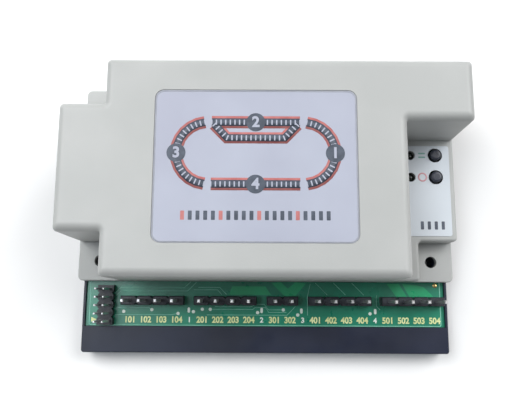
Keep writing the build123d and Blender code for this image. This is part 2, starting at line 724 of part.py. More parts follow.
with BuildPart() as header_body:
    with BuildSketch(Plane.XY.offset(board_top)):
        with Locations((header_x, header_y)):
            Rectangle(header_width, header_depth)
        with Locations(*[(header_x + side * header_width / 2,
                          header_y + (j - HEADER_ROWS / 2) * HEADER_PITCH)
                         for j in range(1, HEADER_ROWS) for side in (-1, 1)]):
            Rectangle(POLE_NOTCH, POLE_NOTCH, rotation=45, mode=Mode.SUBTRACT)
        with Locations(*header_spots()):
            Rectangle(HEADER_PIN_WIDTH, HEADER_PIN_WIDTH, mode=Mode.SUBTRACT)
    extrude(amount=HEADER_HEIGHT)
save(header_body.part, "header_body")
save(square_pins(header_spots(), HEADER_PIN_WIDTH, board_under - PIN_TAIL,
                 board_top + HEADER_HEIGHT + HEADER_PIN_REACH), "header_pins")

# ---------------------------------------------------------------------------
# Push-button switches: body, legs, snap dome, cover plate and button
# ---------------------------------------------------------------------------

foot_bottom = board_top + SWITCH_FLOOR + DOME_HEIGHT + BUTTON_TRAVEL + BUTTON_PLAY
foot_top = board_top + SWITCH_HEIGHT - BUTTON_PLAY

for side, spot in zip(("rear", "front"), button_spots):
    with BuildPart() as switch_body:
        with BuildSketch(Plane.XY.offset(board_top)):
            with Locations(spot):
                Rectangle(SWITCH_SIDE, SWITCH_SIDE)
        extrude(amount=SWITCH_HEIGHT)
        with BuildSketch(Plane.XY.offset(board_top + SWITCH_FLOOR)):
            with Locations(spot):
                Circle(BUTTON_FOOT / 2 + SWITCH_RUNNING)
        extrude(amount=SWITCH_HEIGHT, mode=Mode.SUBTRACT)
    save(switch_body.part, f"{side}_switch_body")

    with BuildPart() as switch_blades:
        with BuildSketch(Plane.XY.offset(board_under - LEG_TAIL)):
            with Locations(*paired(paired([spot], SWITCH_SIDE + BLADE_THICKNESS),
                                   BLADE_SPACING, along_y=True)):
                Rectangle(BLADE_THICKNESS, BLADE_WIDTH)
        extrude(amount=LEG_TAIL + BOARD_THICKNESS + SWITCH_HEIGHT / 2)
    save(switch_blades.part, f"{side}_switch_legs")

    # shallow spherical cap of thin sheet
    dome_radius = (DOME_DIAMETER**2 / 4 + DOME_HEIGHT**2) / (2 * DOME_HEIGHT)
    dome_centre = board_top + SWITCH_FLOOR + DOME_HEIGHT - dome_radius
    with BuildPart() as snap_dome:
        with Locations((*spot, dome_centre)):
            Sphere(dome_radius)
            Sphere(dome_radius - DOME_SHEET, mode=Mode.SUBTRACT)
        split(bisect_by=Plane.XY.offset(board_top + SWITCH_FLOOR), keep=Keep.TOP)
    save(snap_dome.part, f"{side}_snap_dome")

    with BuildPart() as switch_plate:
        with BuildSketch(Plane.XY.offset(board_top + SWITCH_HEIGHT)):
            with Locations(spot):
                Rectangle(SWITCH_SIDE, SWITCH_SIDE)
                Circle(BUTTON_DIAMETER / 2 + SWITCH_RUNNING, mode=Mode.SUBTRACT)
        extrude(amount=SWITCH_PLATE)
    save(switch_plate.part, f"{side}_switch_plate")

    with BuildPart() as button:
        with BuildSketch(Plane.XY.offset(foot_bottom)):
            with Locations(spot):
                Circle(BUTTON_FOOT / 2)
        extrude(amount=foot_top - foot_bottom)
        with BuildSketch(Plane.XY.offset(foot_bottom)):
            with Locations(spot):
                Circle(BUTTON_DIAMETER / 2)
        extrude(amount=step_z + BUTTON_PROUD - foot_bottom)
        fillet(button.edges().group_by(Axis.Z)[-1], BUTTON_EDGE)
    save(button.part, f"{side}_button")

# ---------------------------------------------------------------------------
# Indicator lights: lens, legs and spacer
# ---------------------------------------------------------------------------

for side, spot in zip(("rear", "front"), light_spots):
    with BuildPart() as light:
        with BuildSketch(Plane.XY.offset(light_base_z)):
            with Locations(spot):
                Circle(LIGHT_FLANGE / 2)
        extrude(amount=LIGHT_FLANGE_HEIGHT)
        with BuildSketch(Plane.XY.offset(light_base_z)):
            with Locations(spot):
                Circle(LIGHT_DIAMETER / 2)
        extrude(amount=LIGHT_BODY - LIGHT_DIAMETER / 2)
        with Locations((*spot, light_base_z + LIGHT_BODY - LIGHT_DIAMETER / 2)):
            Sphere(LIGHT_DIAMETER / 2)
    save(light.part, f"{side}_light")

    with BuildPart() as spacer:
        with BuildSketch(Plane.XY.offset(board_top)):
            with Locations(spot):
                Circle(LIGHT_SPACER / 2)
            with Locations(*paired([spot], LEG_PITCH, along_y=True)):
                Rectangle(LEG_WIDTH, LEG_WIDTH, mode=Mode.SUBTRACT)
        extrude(amount=light_base_z - board_top)
    save(spacer.part, f"{side}_light_spacer")

with BuildPart() as light_leg_group:
    with BuildSketch(Plane.XY.offset(board_under - LEG_TAIL)):
        with Locations(*light_legs):
            Rectangle(LEG_WIDTH, LEG_WIDTH)
    extrude(amount=light_base_z - board_under + LEG_TAIL)
save(light_leg_group.part, "light_legs")

# ---------------------------------------------------------------------------
# Network sockets: housing with a mouth and a latch slot, and six contacts
# ---------------------------------------------------------------------------

mouth_floor = board_top + MOUTH_RISE
mouth_roof = mouth_floor + MOUTH_HEIGHT
contact_top = (mouth_roof + board_top + SOCKET_HEIGHT) / 2
contact_bend = socket_face + CONTACT_START
contact_tip = contact_bend + CONTACT_REACH

for side, row in zip(("front", "rear"), socket_rows):
    with BuildPart() as contacts:
        for offset in contact_rows:
            with BuildSketch(Plane.XZ.offset(-(row + offset))):
                with BuildLine():
                    Polyline(
                        (contact_x - CONTACT_THICKNESS / 2, board_under - LEG_TAIL),
                        (contact_x + CONTACT_THICKNESS / 2, board_under - LEG_TAIL),
                        (contact_x + CONTACT_THICKNESS / 2, contact_top),
                        (contact_bend, contact_top),
                        (contact_tip, mouth_roof - CONTACT_DROP),
                        (contact_tip + CONTACT_THICKNESS, mouth_roof - CONTACT_DROP + CONTACT_THICKNESS),
                        (contact_bend + 3 * CONTACT_THICKNESS, contact_top - CONTACT_THICKNESS),
                        (contact_x - CONTACT_THICKNESS / 2, contact_top - CONTACT_THICKNESS),
                        close=True,
                    )
                make_face()
            extrude(amount=CONTACT_WIDTH / 2, both=True)
    save(contacts.part, f"{side}_socket_contacts")

    with BuildPart() as network_socket:
        with BuildSketch(Plane.XY.offset(board_top)):
            with Locations((socket_face + SOCKET_LENGTH / 2, row)):
                Rectangle(SOCKET_LENGTH, SOCKET_WIDTH)
        extrude(amount=SOCKET_HEIGHT)
        with BuildSketch(Plane.XY.offset(mouth_floor)):
            with Locations((socket_face + MOUTH_DEPTH / 2, row)):
                Rectangle(MOUTH_DEPTH, MOUTH_WIDTH)
        extrude(amount=MOUTH_HEIGHT, mode=Mode.SUBTRACT)
        with BuildSketch(Plane.XY.offset(mouth_floor - LATCH_HEIGHT)):
            with Locations((socket_face + MOUTH_DEPTH / 2, row)):
                Rectangle(MOUTH_DEPTH, LATCH_WIDTH)
        extrude(amount=LATCH_HEIGHT, mode=Mode.SUBTRACT)
        # slots in the roof, one for each contact
        with BuildSketch(Plane.XY.offset(mouth_roof)):
            with Locations(*[((contact_bend + contact_x) / 2, row + offset) for offset in contact_rows]):
                Rectangle(contact_x - contact_bend + CONTACT_THICKNESS, CONTACT_WIDTH)
        extrude(amount=contact_top - mouth_roof, mode=Mode.SUBTRACT)
        # passages down to the board
        with BuildSketch(Plane.XY.offset(board_top)):
            with Locations(*[(contact_x, row + offset) for offset in contact_rows]):
                Rectangle(CONTACT_THICKNESS, CONTACT_WIDTH)
        extrude(amount=contact_top - board_top, mode=Mode.SUBTRACT)
    save(network_socket.part, f"{side}_network_socket")

# ---------------------------------------------------------------------------
# Power socket: housing with a round bore, centre pin and side spring
# ---------------------------------------------------------------------------

power_floor_x = power_face - POWER_BORE_DEPTH
bore_bottom = power_axis_z - POWER_BORE / 2

with BuildPart() as power_spring:
    with BuildSketch(Plane.XZ.offset(-power_y)):
        with BuildLine():
            Polyline(
                (power_spring_leg_x - POWER_SPRING_THICKNESS / 2, board_under - LEG_TAIL),
                (power_spring_leg_x + POWER_SPRING_THICKNESS / 2, board_under - LEG_TAIL),
                (power_spring_leg_x + POWER_SPRING_THICKNESS / 2, bore_bottom),
                (power_face - POWER_PIN_SETBACK - POWER_PIN, bore_bottom + POWER_SPRING_THICKNESS),
                (power_face - POWER_PIN_SETBACK - POWER_PIN, bore_bottom + 2 * POWER_SPRING_THICKNESS),
                (power_spring_leg_x - POWER_SPRING_THICKNESS / 2, bore_bottom + POWER_SPRING_THICKNESS),
                close=True,
            )
        make_face()
    extrude(amount=POWER_SPRING_WIDTH / 2, both=True)
save(power_spring.part, "power_socket_spring")

with BuildPart() as power_pin:
    with BuildSketch(Plane.YZ.offset(power_pin_leg_x)):
        with Locations((power_y, power_axis_z)):
            Circle(POWER_PIN / 2)
    extrude(amount=POWER_LENGTH - POWER_PIN_SETBACK)
    fillet(power_pin.edges().sort_by(Axis.X)[-1], POWER_PIN_EDGE)
    with BuildSketch(Plane.YZ.offset(power_pin_leg_x - POWER_SPRING_THICKNESS)):
        with Locations((power_y, (board_under - LEG_TAIL + power_axis_z) / 2)):
            Rectangle(POWER_SPRING_WIDTH, power_axis_z - board_under + LEG_TAIL)
        with Locations((power_y, power_axis_z)):
            Circle(POWER_SPRING_WIDTH / 2)
    extrude(amount=POWER_SPRING_THICKNESS)
save(power_pin.part, "power_socket_pin")

with BuildPart() as power_socket:
    with BuildSketch(Plane.XY.offset(board_top)):
        with Locations((power_face - POWER_LENGTH / 2, power_y)):
            Rectangle(POWER_LENGTH, POWER_WIDTH)
    extrude(amount=POWER_HEIGHT)
    with BuildSketch(Plane.YZ.offset(power_floor_x)):
        with Locations((power_y, power_axis_z)):
            Circle(POWER_BORE / 2)
    extrude(amount=POWER_LENGTH, mode=Mode.SUBTRACT)
    with BuildSketch(Plane.YZ.offset(power_pin_leg_x)):
        with Locations((power_y, power_axis_z)):
            Circle(POWER_PIN / 2)
    extrude(amount=POWER_LENGTH, mode=Mode.SUBTRACT)
    # slot under the bore for the side spring
    with BuildSketch(Plane.XY.offset(board_top)):
        with Locations((power_spring_leg_x, power_y)):
            Rectangle(POWER_SPRING_THICKNESS, POWER_SPRING_WIDTH)
    extrude(amount=power_axis_z - board_top, mode=Mode.SUBTRACT)
    add(power_spring.part, mode=Mode.SUBTRACT)
save(power_socket.part, "power_socket")

# ---------------------------------------------------------------------------
# Capacitors: aluminium can, plastic sleeve, rubber seal and legs
# ---------------------------------------------------------------------------

can_radius = CAPACITOR_DIAMETER / 2 - CAPACITOR_SLEEVE

with BuildPart() as capacitor_cans:
    with BuildSketch(Plane.XY.offset(board_top + CAPACITOR_SEAL)):
        with Locations(*capacitor_spots):
            Circle(can_radius)
    extrude(amount=CAPACITOR_HEIGHT - CAPACITOR_SEAL - CAPACITOR_SLEEVE)
    with BuildSketch(Plane.XY.offset(board_top + CAPACITOR_HEIGHT - CAPACITOR_SLEEVE - VENT_DEPTH)):
        with Locations(*capacitor_spots):
            Rectangle(VENT_LENGTH, VENT_WIDTH)
            Rectangle(VENT_WIDTH, VENT_LENGTH)
    extrude(amount=VENT_DEPTH, mode=Mode.SUBTRACT)
save(capacitor_cans.part, "capacitor_cans")

with BuildPart() as capacitor_sleeves:
    with BuildSketch(Plane.XY.offset(board_top)):
        with Locations(*capacitor_spots):
            Circle(CAPACITOR_DIAMETER / 2)
    extrude(amount=CAPACITOR_HEIGHT)
    fillet(capacitor_sleeves.edges().group_by(Axis.Z)[-1], SLEEVE_EDGE)
    with BuildSketch(Plane.XY.offset(board_top)):
        with Locations(*capacitor_spots):
            Circle(can_radius)
    extrude(amount=CAPACITOR_HEIGHT - CAPACITOR_SLEEVE, mode=Mode.SUBTRACT)
    with BuildSketch(Plane.XY.offset(board_top)):
        with Locations(*capacitor_spots):
            Circle(can_radius - CAPACITOR_RIM)
    extrude(amount=CAPACITOR_HEIGHT, mode=Mode.SUBTRACT)
save(capacitor_sleeves.part, "capacitor_sleeves")

with BuildPart() as capacitor_seals:
    with BuildSketch(Plane.XY.offset(board_top)):
        with Locations(*capacitor_spots):
            Circle(can_radius)
        with Locations(*capacitor_legs):
            Rectangle(LEG_WIDTH, LEG_WIDTH, mode=Mode.SUBTRACT)
    extrude(amount=CAPACITOR_SEAL)
save(capacitor_seals.part, "capacitor_seals")

with BuildPart() as capacitor_leg_group:
    with BuildSketch(Plane.XY.offset(board_under - LEG_TAIL)):
        with Locations(*capacitor_legs):
            Rectangle(LEG_WIDTH, LEG_WIDTH)
    extrude(amount=LEG_TAIL + BOARD_THICKNESS + CAPACITOR_SEAL)
save(capacitor_leg_group.part, "capacitor_legs")

# ---------------------------------------------------------------------------
# Sensing coils: ring cores and their windings
# ---------------------------------------------------------------------------

with BuildPart() as coil_cores:
    with BuildSketch(Plane.XY.offset(coil_z)):
        with Locations(*coil_spots):
            Circle(COIL_OUTER / 2)
            Circle(COIL_INNER / 2, mode=Mode.SUBTRACT)
    extrude(amount=COIL_THICKNESS)
save(coil_cores.part, "coil_cores")

slot_width = (COIL_OUTER - COIL_INNER) / 2 + 2 * COIL_SLACK
slot_height = COIL_THICKNESS + 2 * COIL_SLACK
core_middle = (COIL_OUTER + COIL_INNER) / 4
with BuildPart() as winding:
    for turn in range(COIL_TURNS):
        angle = turn * 360 / COIL_TURNS
        radial = Plane(origin=(0, 0, 0), x_dir=(1, 0, 0), z_dir=(0, -1, 0)).rotated((0, 0, angle))
        with BuildSketch(radial):
            with Locations((core_middle, coil_z + COIL_THICKNESS / 2)):
                Rectangle(slot_width + 2 * COIL_WIRE, slot_height + 2 * COIL_WIRE)
                Rectangle(slot_width, slot_height, mode=Mode.SUBTRACT)
        extrude(amount=COIL_WIRE / 2, both=True)
    with BuildSketch(Plane.XY.offset(board_under - LEG_TAIL)):
        with Locations(*paired([(0, 0)], COIL_OUTER + 2 * COIL_SLACK + COIL_WIRE)):
            Rectangle(COIL_WIRE, COIL_WIRE)
    extrude(amount=LEG_TAIL + BOARD_THICKNESS + COIL_WIRE)

with BuildPart() as coil_windings:
    with Locations(*coil_spots):
        add(winding.part)
save(coil_windings.part, "coil_windings")

# ---------------------------------------------------------------------------
# Power transistors: bodies, tabs and feet, soldered flat on the board
# ---------------------------------------------------------------------------

with BuildPart() as transistor_tabs:
    with BuildSketch(Plane.XY.offset(board_top)):
        with Locations(*[(x, y + TAB_REACH / 2) for x, y in transistor_spots]):
            Rectangle(TAB_WIDTH, TRANSISTOR_DEPTH + TAB_REACH)
    extrude(amount=TAB_THICKNESS)
save(transistor_tabs.part, "transistor_tabs")

with BuildPart() as transistor_bodies:
    with BuildSketch(Plane.XY.offset(board_top + TAB_THICKNESS)):
        with Locations(*transistor_spots):
            Rectangle(TRANSISTOR_WIDTH, TRANSISTOR_DEPTH)
    extrude(amount=TRANSISTOR_HEIGHT - TAB_THICKNESS)
    chamfer(transistor_bodies.edges().group_by(Axis.Z)[-1], TAB_THICKNESS)
save(transistor_bodies.part, "transistor_bodies")

foot_face = transistor_y - TRANSISTOR_DEPTH / 2
with BuildPart() as transistor_feet:
    for x, y in paired(transistor_spots, FOOT_SPACING):
        with BuildSketch(Plane.YZ.offset(x)):
            with BuildLine():
                Polyline(
                    (foot_face - FOOT_REACH, board_top),
                    (foot_face, board_top),
                    (foot_face, board_top + TRANSISTOR_HEIGHT / 2),
                    (foot_face - TAB_THICKNESS, board_top + TRANSISTOR_HEIGHT / 2),
                    (foot_face - 2 * TAB_THICKNESS, board_top + TAB_THICKNESS),
                    (foot_face - FOOT_REACH, board_top + TAB_THICKNESS),
                    close=True,
                )
            make_face()
        extrude(amount=FOOT_WIDTH / 2, both=True)
save(transistor_feet.part, "transistor_feet")

# ---------------------------------------------------------------------------
# Microcontroller and crystal
# ---------------------------------------------------------------------------

with BuildPart() as controller_chip:
    with BuildSketch(Plane.XY.offset(board_top + CHIP_STANDOFF)):
        with Locations((chip_x, chip_y)):
            Rectangle(CHIP_SIDE, CHIP_SIDE)
    extrude(amount=CHIP_HEIGHT)
    chamfer(controller_chip.edges().group_by(Axis.Z)[-1], CHIP_STANDOFF)
save(controller_chip.part, "controller_chip")

chip_lead_z = board_top + CHIP_STANDOFF + CHIP_HEIGHT / 2
with BuildPart() as lead_row:
    for i in range(CHIP_LEADS):
        with BuildSketch(Plane.XZ.offset(-(i - (CHIP_LEADS - 1) / 2) * CHIP_LEAD_PITCH)):
            with BuildLine():
                Polyline(
                    (CHIP_SIDE / 2, chip_lead_z),
                    (CHIP_SIDE / 2, chip_lead_z - CHIP_LEAD_THICKNESS),
                    (CHIP_SIDE / 2 + CHIP_LEAD_THICKNESS, board_top),
                    (chip_half, board_top),
                    (chip_half, board_top + CHIP_LEAD_THICKNESS),
                    (CHIP_SIDE / 2 + 2 * CHIP_LEAD_THICKNESS, board_top + CHIP_LEAD_THICKNESS),
                    (CHIP_SIDE / 2 + CHIP_LEAD_THICKNESS, chip_lead_z),
                    close=True,
                )
            make_face()
        extrude(amount=CHIP_LEAD_WIDTH / 2, both=True)

with BuildPart() as chip_leads:
    with Locations((chip_x, chip_y)):
        with PolarLocations(0, 4):
            add(lead_row.part)
save(chip_leads.part, "chip_leads")

with BuildPart() as crystal:
    with BuildSketch(Plane.XY.offset(board_top)):
        with Locations((crystal_x, chip_y)):
            SlotOverall(CRYSTAL_LENGTH + 2 * CRYSTAL_RIM, CRYSTAL_DEPTH + 2 * CRYSTAL_RIM, rotation=90)
    extrude(amount=CRYSTAL_BASE)
    with BuildSketch(Plane.XY.offset(board_top)):
        with Locations((crystal_x, chip_y)):
            SlotOverall(CRYSTAL_LENGTH, CRYSTAL_DEPTH, rotation=90)
    extrude(amount=CRYSTAL_HEIGHT)
    fillet(crystal.edges().group_by(Axis.Z)[-1], CRYSTAL_RIM)
    with BuildSketch(Plane.XY.offset(board_under - LEG_TAIL)):
        with Locations(*crystal_legs):
            Rectangle(LEG_WIDTH, LEG_WIDTH)
    extrude(amount=LEG_TAIL + BOARD_THICKNESS)
save(crystal.part, "crystal")

# ---------------------------------------------------------------------------
# Voltage regulator on its heatsink
# ---------------------------------------------------------------------------

with BuildPart() as heatsink:
    with BuildSketch(Plane.XY.offset(board_top)):
        with Locations((heatsink_x, heatsink_y - HEATSINK_DEPTH / 2)):
            Rectangle(HEATSINK_WIDTH, HEATSINK_DEPTH)
        with Locations((heatsink_x, heatsink_y - HEATSINK_SHEET - HEATSINK_DEPTH / 2)):
            Rectangle(HEATSINK_WIDTH - 2 * HEATSINK_SHEET, HEATSINK_DEPTH, mode=Mode.SUBTRACT)
    extrude(amount=HEATSINK_HEIGHT)
    with BuildSketch(Plane.XZ.offset(-heatsink_y)):
        with Locations((heatsink_x, heatsink_screw_z)):
            Circle(HEATSINK_SCREW / 2)
    extrude(amount=HEATSINK_SHEET, mode=Mode.SUBTRACT)
save(heatsink.part, "heatsink")

with BuildPart() as regulator_tab:
    with BuildSketch(Plane.XZ.offset(-regulator_y)):
        with Locations((heatsink_x, regulator_top - REGULATOR_TAB_HEIGHT / 2)):
            Rectangle(REGULATOR_WIDTH, REGULATOR_TAB_HEIGHT)
        with Locations((heatsink_x, heatsink_screw_z)):
            Circle(HEATSINK_SCREW / 2, mode=Mode.SUBTRACT)
    extrude(amount=REGULATOR_TAB_THICKNESS)
save(regulator_tab.part, "regulator_tab")

with BuildPart() as regulator_body:
    with BuildSketch(Plane.XZ.offset(-regulator_y + REGULATOR_TAB_THICKNESS)):
        with Locations((heatsink_x, board_top + REGULATOR_RISE + REGULATOR_BODY_HEIGHT / 2)):
            Rectangle(REGULATOR_WIDTH, REGULATOR_BODY_HEIGHT)
    extrude(amount=REGULATOR_BODY_THICKNESS - REGULATOR_TAB_THICKNESS)
    chamfer(regulator_body.edges().group_by(Axis.Y)[0], LEG_WIDTH)
save(regulator_body.part, "regulator_body")

with BuildPart() as regulator_leg_group:
    with BuildSketch(Plane.XY.offset(board_under - LEG_TAIL)):
        with Locations(*regulator_legs):
            Rectangle(LEG_WIDTH, LEG_WIDTH)
    extrude(amount=LEG_TAIL + BOARD_THICKNESS + REGULATOR_RISE)
save(regulator_leg_group.part, "regulator_legs")

with BuildPart() as heatsink_screw:
    with BuildSketch(Plane.XZ.offset(-regulator_y + REGULATOR_TAB_THICKNESS)):
        with Locations((heatsink_x, heatsink_screw_z)):
            Circle(HEATSINK_SCREW_HEAD / 2)
    extrude(amount=HEATSINK_SCREW_HEAD_HEIGHT)
    fillet(heatsink_screw.edges().group_by(Axis.Y)[0], HEATSINK_SCREW_HEAD_HEIGHT / 3)
    with BuildSketch(Plane.XZ.offset(-regulator_y + REGULATOR_TAB_THICKNESS)):
        with Locations((heatsink_x, heatsink_screw_z)):
            Circle(HEATSINK_SCREW / 2)
    extrude(amount=-(REGULATOR_TAB_THICKNESS + HEATSINK_SHEET + HEATSINK_NUT_HEIGHT))
save(heatsink_screw.part, "heatsink_screw")

with BuildPart() as heatsink_nut:
    with BuildSketch(Plane.XZ.offset(-heatsink_y)):
        with Locations((heatsink_x, heatsink_screw_z)):
            RegularPolygon(HEATSINK_NUT / 2, 6, major_radius=False)
            Circle(HEATSINK_SCREW / 2, mode=Mode.SUBTRACT)
    extrude(amount=-HEATSINK_NUT_HEIGHT)
save(heatsink_nut.part, "heatsink_nut")

# ---------------------------------------------------------------------------
# Chip resistors in front of the transistors, chip capacitors around the controller
# ---------------------------------------------------------------------------

with BuildPart() as chip_resistors:
    with BuildSketch(Plane.XY.offset(board_top)):
        with Locations(*[(x, cover_front + RESISTOR_SETBACK) for x, y in transistor_spots]):
            Rectangle(CHIP_PART_LENGTH, CHIP_PART_WIDTH)
    extrude(amount=CHIP_PART_HEIGHT)
save(chip_resistors.part, "chip_resistors")

with BuildPart() as chip_capacitors:
    with BuildSketch(Plane.XY.offset(board_top)):
        with Locations((chip_x, chip_y)):
            with PolarLocations(chip_half + DECOUPLER_GAP, 4):
                Rectangle(CHIP_PART_WIDTH, CHIP_PART_LENGTH)
    extrude(amount=CHIP_PART_HEIGHT)
save(chip_capacitors.part, "chip_capacitors")

# ---------------------------------------------------------------------------
# Case screws, driven from below through the tray's posts into the cover's bosses
# ---------------------------------------------------------------------------

with BuildPart() as case_screws:
    with BuildSketch(Plane.XY.offset(SCREW_SEAT - SCREW_HEAD_HEIGHT)):
        with Locations(*boss_spots):
            Circle(SCREW_HEAD / 2)
    extrude(amount=SCREW_HEAD_HEIGHT)
    fillet(case_screws.edges().group_by(Axis.Z)[0], SCREW_HEAD_EDGE)
    with BuildSketch(Plane.XY.offset(SCREW_SEAT)):
        with Locations(*boss_spots):
            Circle(SCREW_SHANK / 2)
    extrude(amount=SCREW_LENGTH)
    with BuildSketch(Plane.XY.offset(SCREW_SEAT - SCREW_HEAD_HEIGHT)):
        with Locations(*boss_spots):
            Rectangle(SCREW_SHANK, RECESS_WIDTH)
            Rectangle(RECESS_WIDTH, SCREW_SHANK)
    extrude(amount=RECESS_DEPTH, mode=Mode.SUBTRACT)
save(case_screws.part, "case_screws")
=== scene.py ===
# %% [markdown]
# # A power controller for a model railway
#
# The real object is a two-part plastic case with a circuit board between its halves. The front of the
# board is left open, so that wires can be plugged on to tall terminal pins. This lesson takes a finished
# mechanical model, gives each piece the finish it has in life, and adds what is printed, plated or etched
# on it. The mechanical pieces arrive first, already in place, and none of them is moved.

# %% Load the mechanical model
import json
import math

import bmesh
import bpy
from mathutils import Matrix, Vector


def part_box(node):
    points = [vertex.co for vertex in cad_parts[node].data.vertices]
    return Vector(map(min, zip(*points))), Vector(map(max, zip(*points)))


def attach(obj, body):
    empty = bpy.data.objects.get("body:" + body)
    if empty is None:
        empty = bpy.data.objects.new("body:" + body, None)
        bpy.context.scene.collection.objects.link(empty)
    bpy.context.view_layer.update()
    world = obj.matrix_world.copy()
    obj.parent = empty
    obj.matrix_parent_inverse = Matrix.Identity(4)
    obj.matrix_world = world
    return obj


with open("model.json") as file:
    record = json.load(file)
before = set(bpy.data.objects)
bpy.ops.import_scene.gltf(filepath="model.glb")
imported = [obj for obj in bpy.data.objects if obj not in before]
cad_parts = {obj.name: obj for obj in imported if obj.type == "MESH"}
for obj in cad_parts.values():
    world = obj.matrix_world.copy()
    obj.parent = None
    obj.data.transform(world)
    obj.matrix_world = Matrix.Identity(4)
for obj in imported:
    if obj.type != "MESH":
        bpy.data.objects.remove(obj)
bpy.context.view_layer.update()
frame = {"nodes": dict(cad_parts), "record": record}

MM = 0.001
nodes = frame["nodes"]
print(len(nodes), "mechanical pieces loaded")

# %% [markdown]
# ## Where things are
#
# Everything that is printed or plated sits on a face of a mechanical piece. Reading those faces from the
# model keeps the print on the surface if the model changes. Typing the heights in again would be quicker
# today and wrong tomorrow.

# %% Measure the faces that carry print
board_low, board_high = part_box("circuit_board")
label_low, label_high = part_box("top_label")
control_low, control_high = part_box("control_label")
board_top = board_high.z
board_front = board_low.y
label_middle = (label_low + label_high) / 2


def pin_centres(node, pitch=5.08 * MM):
    """Middles of the pins in one strip, worked out from the strip's own box."""
    low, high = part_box(node)
    count = round((high.x - low.x) / pitch) + 1
    middle = (low + high) / 2
    return [Vector((middle.x + (i - (count - 1) / 2) * pitch, middle.y, board_top)) for i in range(count)]


strips = [pin_centres(f"terminal_pins_{number}") for number in range(1, 6)]
print("pins in each strip:", [len(strip) for strip in strips])

# %% [markdown]
# ## Building blocks for the finishes
#
# A moulded or plated surface is never one flat value. Three small effects cover most of it: a slow drift
# in colour, a slow drift in gloss, and a fine grain in the surface. They all read the object's own
# coordinates, so they stay put when the piece moves, and need no unwrapping.

# %% Small helpers for shader trees


def new_finish(name):
    """An empty finish: its material, its tree and its main shader."""
    material = bpy.data.materials.new(name)
    material.use_nodes = True
    tree = material.node_tree
    return material, tree, tree.nodes["Principled BSDF"]


def object_noise(tree, scale, detail=3.0, stretch=(1, 1, 1)):
    """Noise in the object's own metres; scale is in spots per metre."""
    place = tree.nodes.new("ShaderNodeTexCoord")
    mapping = tree.nodes.new("ShaderNodeMapping")
    mapping.inputs["Scale"].default_value = stretch
    noise = tree.nodes.new("ShaderNodeTexNoise")
    noise.inputs["Scale"].default_value = scale
    noise.inputs["Detail"].default_value = detail
    tree.links.new(place.outputs["Object"], mapping.inputs["Vector"])
    tree.links.new(mapping.outputs["Vector"], noise.inputs["Vector"])
    return noise.outputs["Fac"]


def ramp(tree, factor, stops):
    """A colour ramp: stops are (place, colour) pairs."""
    node = tree.nodes.new("ShaderNodeValToRGB")
    elements = node.color_ramp.elements
    elements[0].position, elements[0].color = stops[0][0], (*stops[0][1], 1)
    elements[1].position, elements[1].color = stops[-1][0], (*stops[-1][1], 1)
    for place, colour in stops[1:-1]:
        elements.new(place).color = (*colour, 1)
    tree.links.new(factor, node.inputs["Fac"])
    return node.outputs["Color"]


def spread(tree, factor, low, high):
    """Turns a factor from 0.3 to 0.7 into a value from low to high."""
    node = tree.nodes.new("ShaderNodeMapRange")
    node.inputs["From Min"].default_value = 0.3
    node.inputs["From Max"].default_value = 0.7
    node.inputs["To Min"].default_value = low
    node.inputs["To Max"].default_value = high
    tree.links.new(factor, node.inputs["Value"])
    return node.outputs["Result"]


def add_bump(tree, shader, factor, height, strength=1.0):
    """Raises the surface by up to height metres where factor is 1."""
    node = tree.nodes.new("ShaderNodeBump")
    node.inputs["Distance"].default_value = height
    node.inputs["Strength"].default_value = strength
    tree.links.new(factor, node.inputs["Height"])
    tree.links.new(node.outputs["Normal"], shader.inputs["Normal"])


print("shader helpers: new_finish, object_noise, ramp, spread, add_bump")

# %% [markdown]
# ## Moulded plastic
#
# The cover, the tray, the pin strips and the switches are all injection mouldings. A steel mould with a
# spark-eroded face leaves a fine dull grain, and the flow of plastic leaves a faint cloudiness. One
# function makes the whole family, with the grain's size and depth as its values.

# %% Moulded plastics


def moulded(name, dark, light, gloss=(0.42, 0.52), grain=2600, depth=0.012, cloud=45):
    """Moulded plastic between two close colours, with a spark-eroded grain."""
    material, tree, shader = new_finish(name)
    drift = object_noise(tree, cloud, 4)
    tree.links.new(ramp(tree, drift, [(0.35, dark), (0.65, light)]), shader.inputs["Base Color"])
    smear = object_noise(tree, cloud * 3.1, 5)
    tree.links.new(spread(tree, smear, *gloss), shader.inputs["Roughness"])
    add_bump(tree, shader, object_noise(tree, grain, 2), depth * MM)
    return material


cover_plastic = moulded("warm_grey_moulding", (0.402, 0.412, 0.404), (0.432, 0.44, 0.432), (0.42, 0.5), 2200, 0.016)
tray_plastic = moulded("blue_black_moulding", (0.003, 0.006, 0.02), (0.007, 0.012, 0.035), (0.36, 0.48), 1800, 0.02)
insulator = moulded("black_nylon", (0.01, 0.012, 0.017), (0.018, 0.021, 0.03), (0.35, 0.5), 3000, 0.01)
switch_plastic = moulded("button_black", (0.02, 0.022, 0.034), (0.036, 0.04, 0.058), (0.24, 0.34), 3500, 0.006)
socket_plastic = moulded("socket_black", (0.014, 0.014, 0.016), (0.024, 0.024, 0.027), (0.22, 0.34), 3000, 0.008)
epoxy_black = moulded("moulded_epoxy", (0.02, 0.02, 0.021), (0.035, 0.035, 0.036), (0.5, 0.62), 4200, 0.01)
rubber = moulded("capacitor_rubber", (0.02, 0.02, 0.02), (0.035, 0.035, 0.035), (0.65, 0.8), 2400, 0.01)
ferrite = moulded("ferrite_coating", (0.05, 0.11, 0.06), (0.09, 0.16, 0.09), (0.45, 0.6), 2000, 0.02)
resistor_glaze = moulded("resistor_glaze", (0.02, 0.02, 0.022), (0.05, 0.05, 0.055), (0.2, 0.35), 5000, 0.004)
capacitor_ceramic = moulded("capacitor_ceramic", (0.36, 0.26, 0.15), (0.48, 0.36, 0.22), (0.45, 0.6), 5000, 0.006)
vinyl_sleeve = moulded("vinyl_sleeve", (0.01, 0.016, 0.06), (0.02, 0.03, 0.09), (0.18, 0.26), 1500, 0.006)
print("moulded finishes:", sum(m.use_nodes for m in bpy.data.materials))

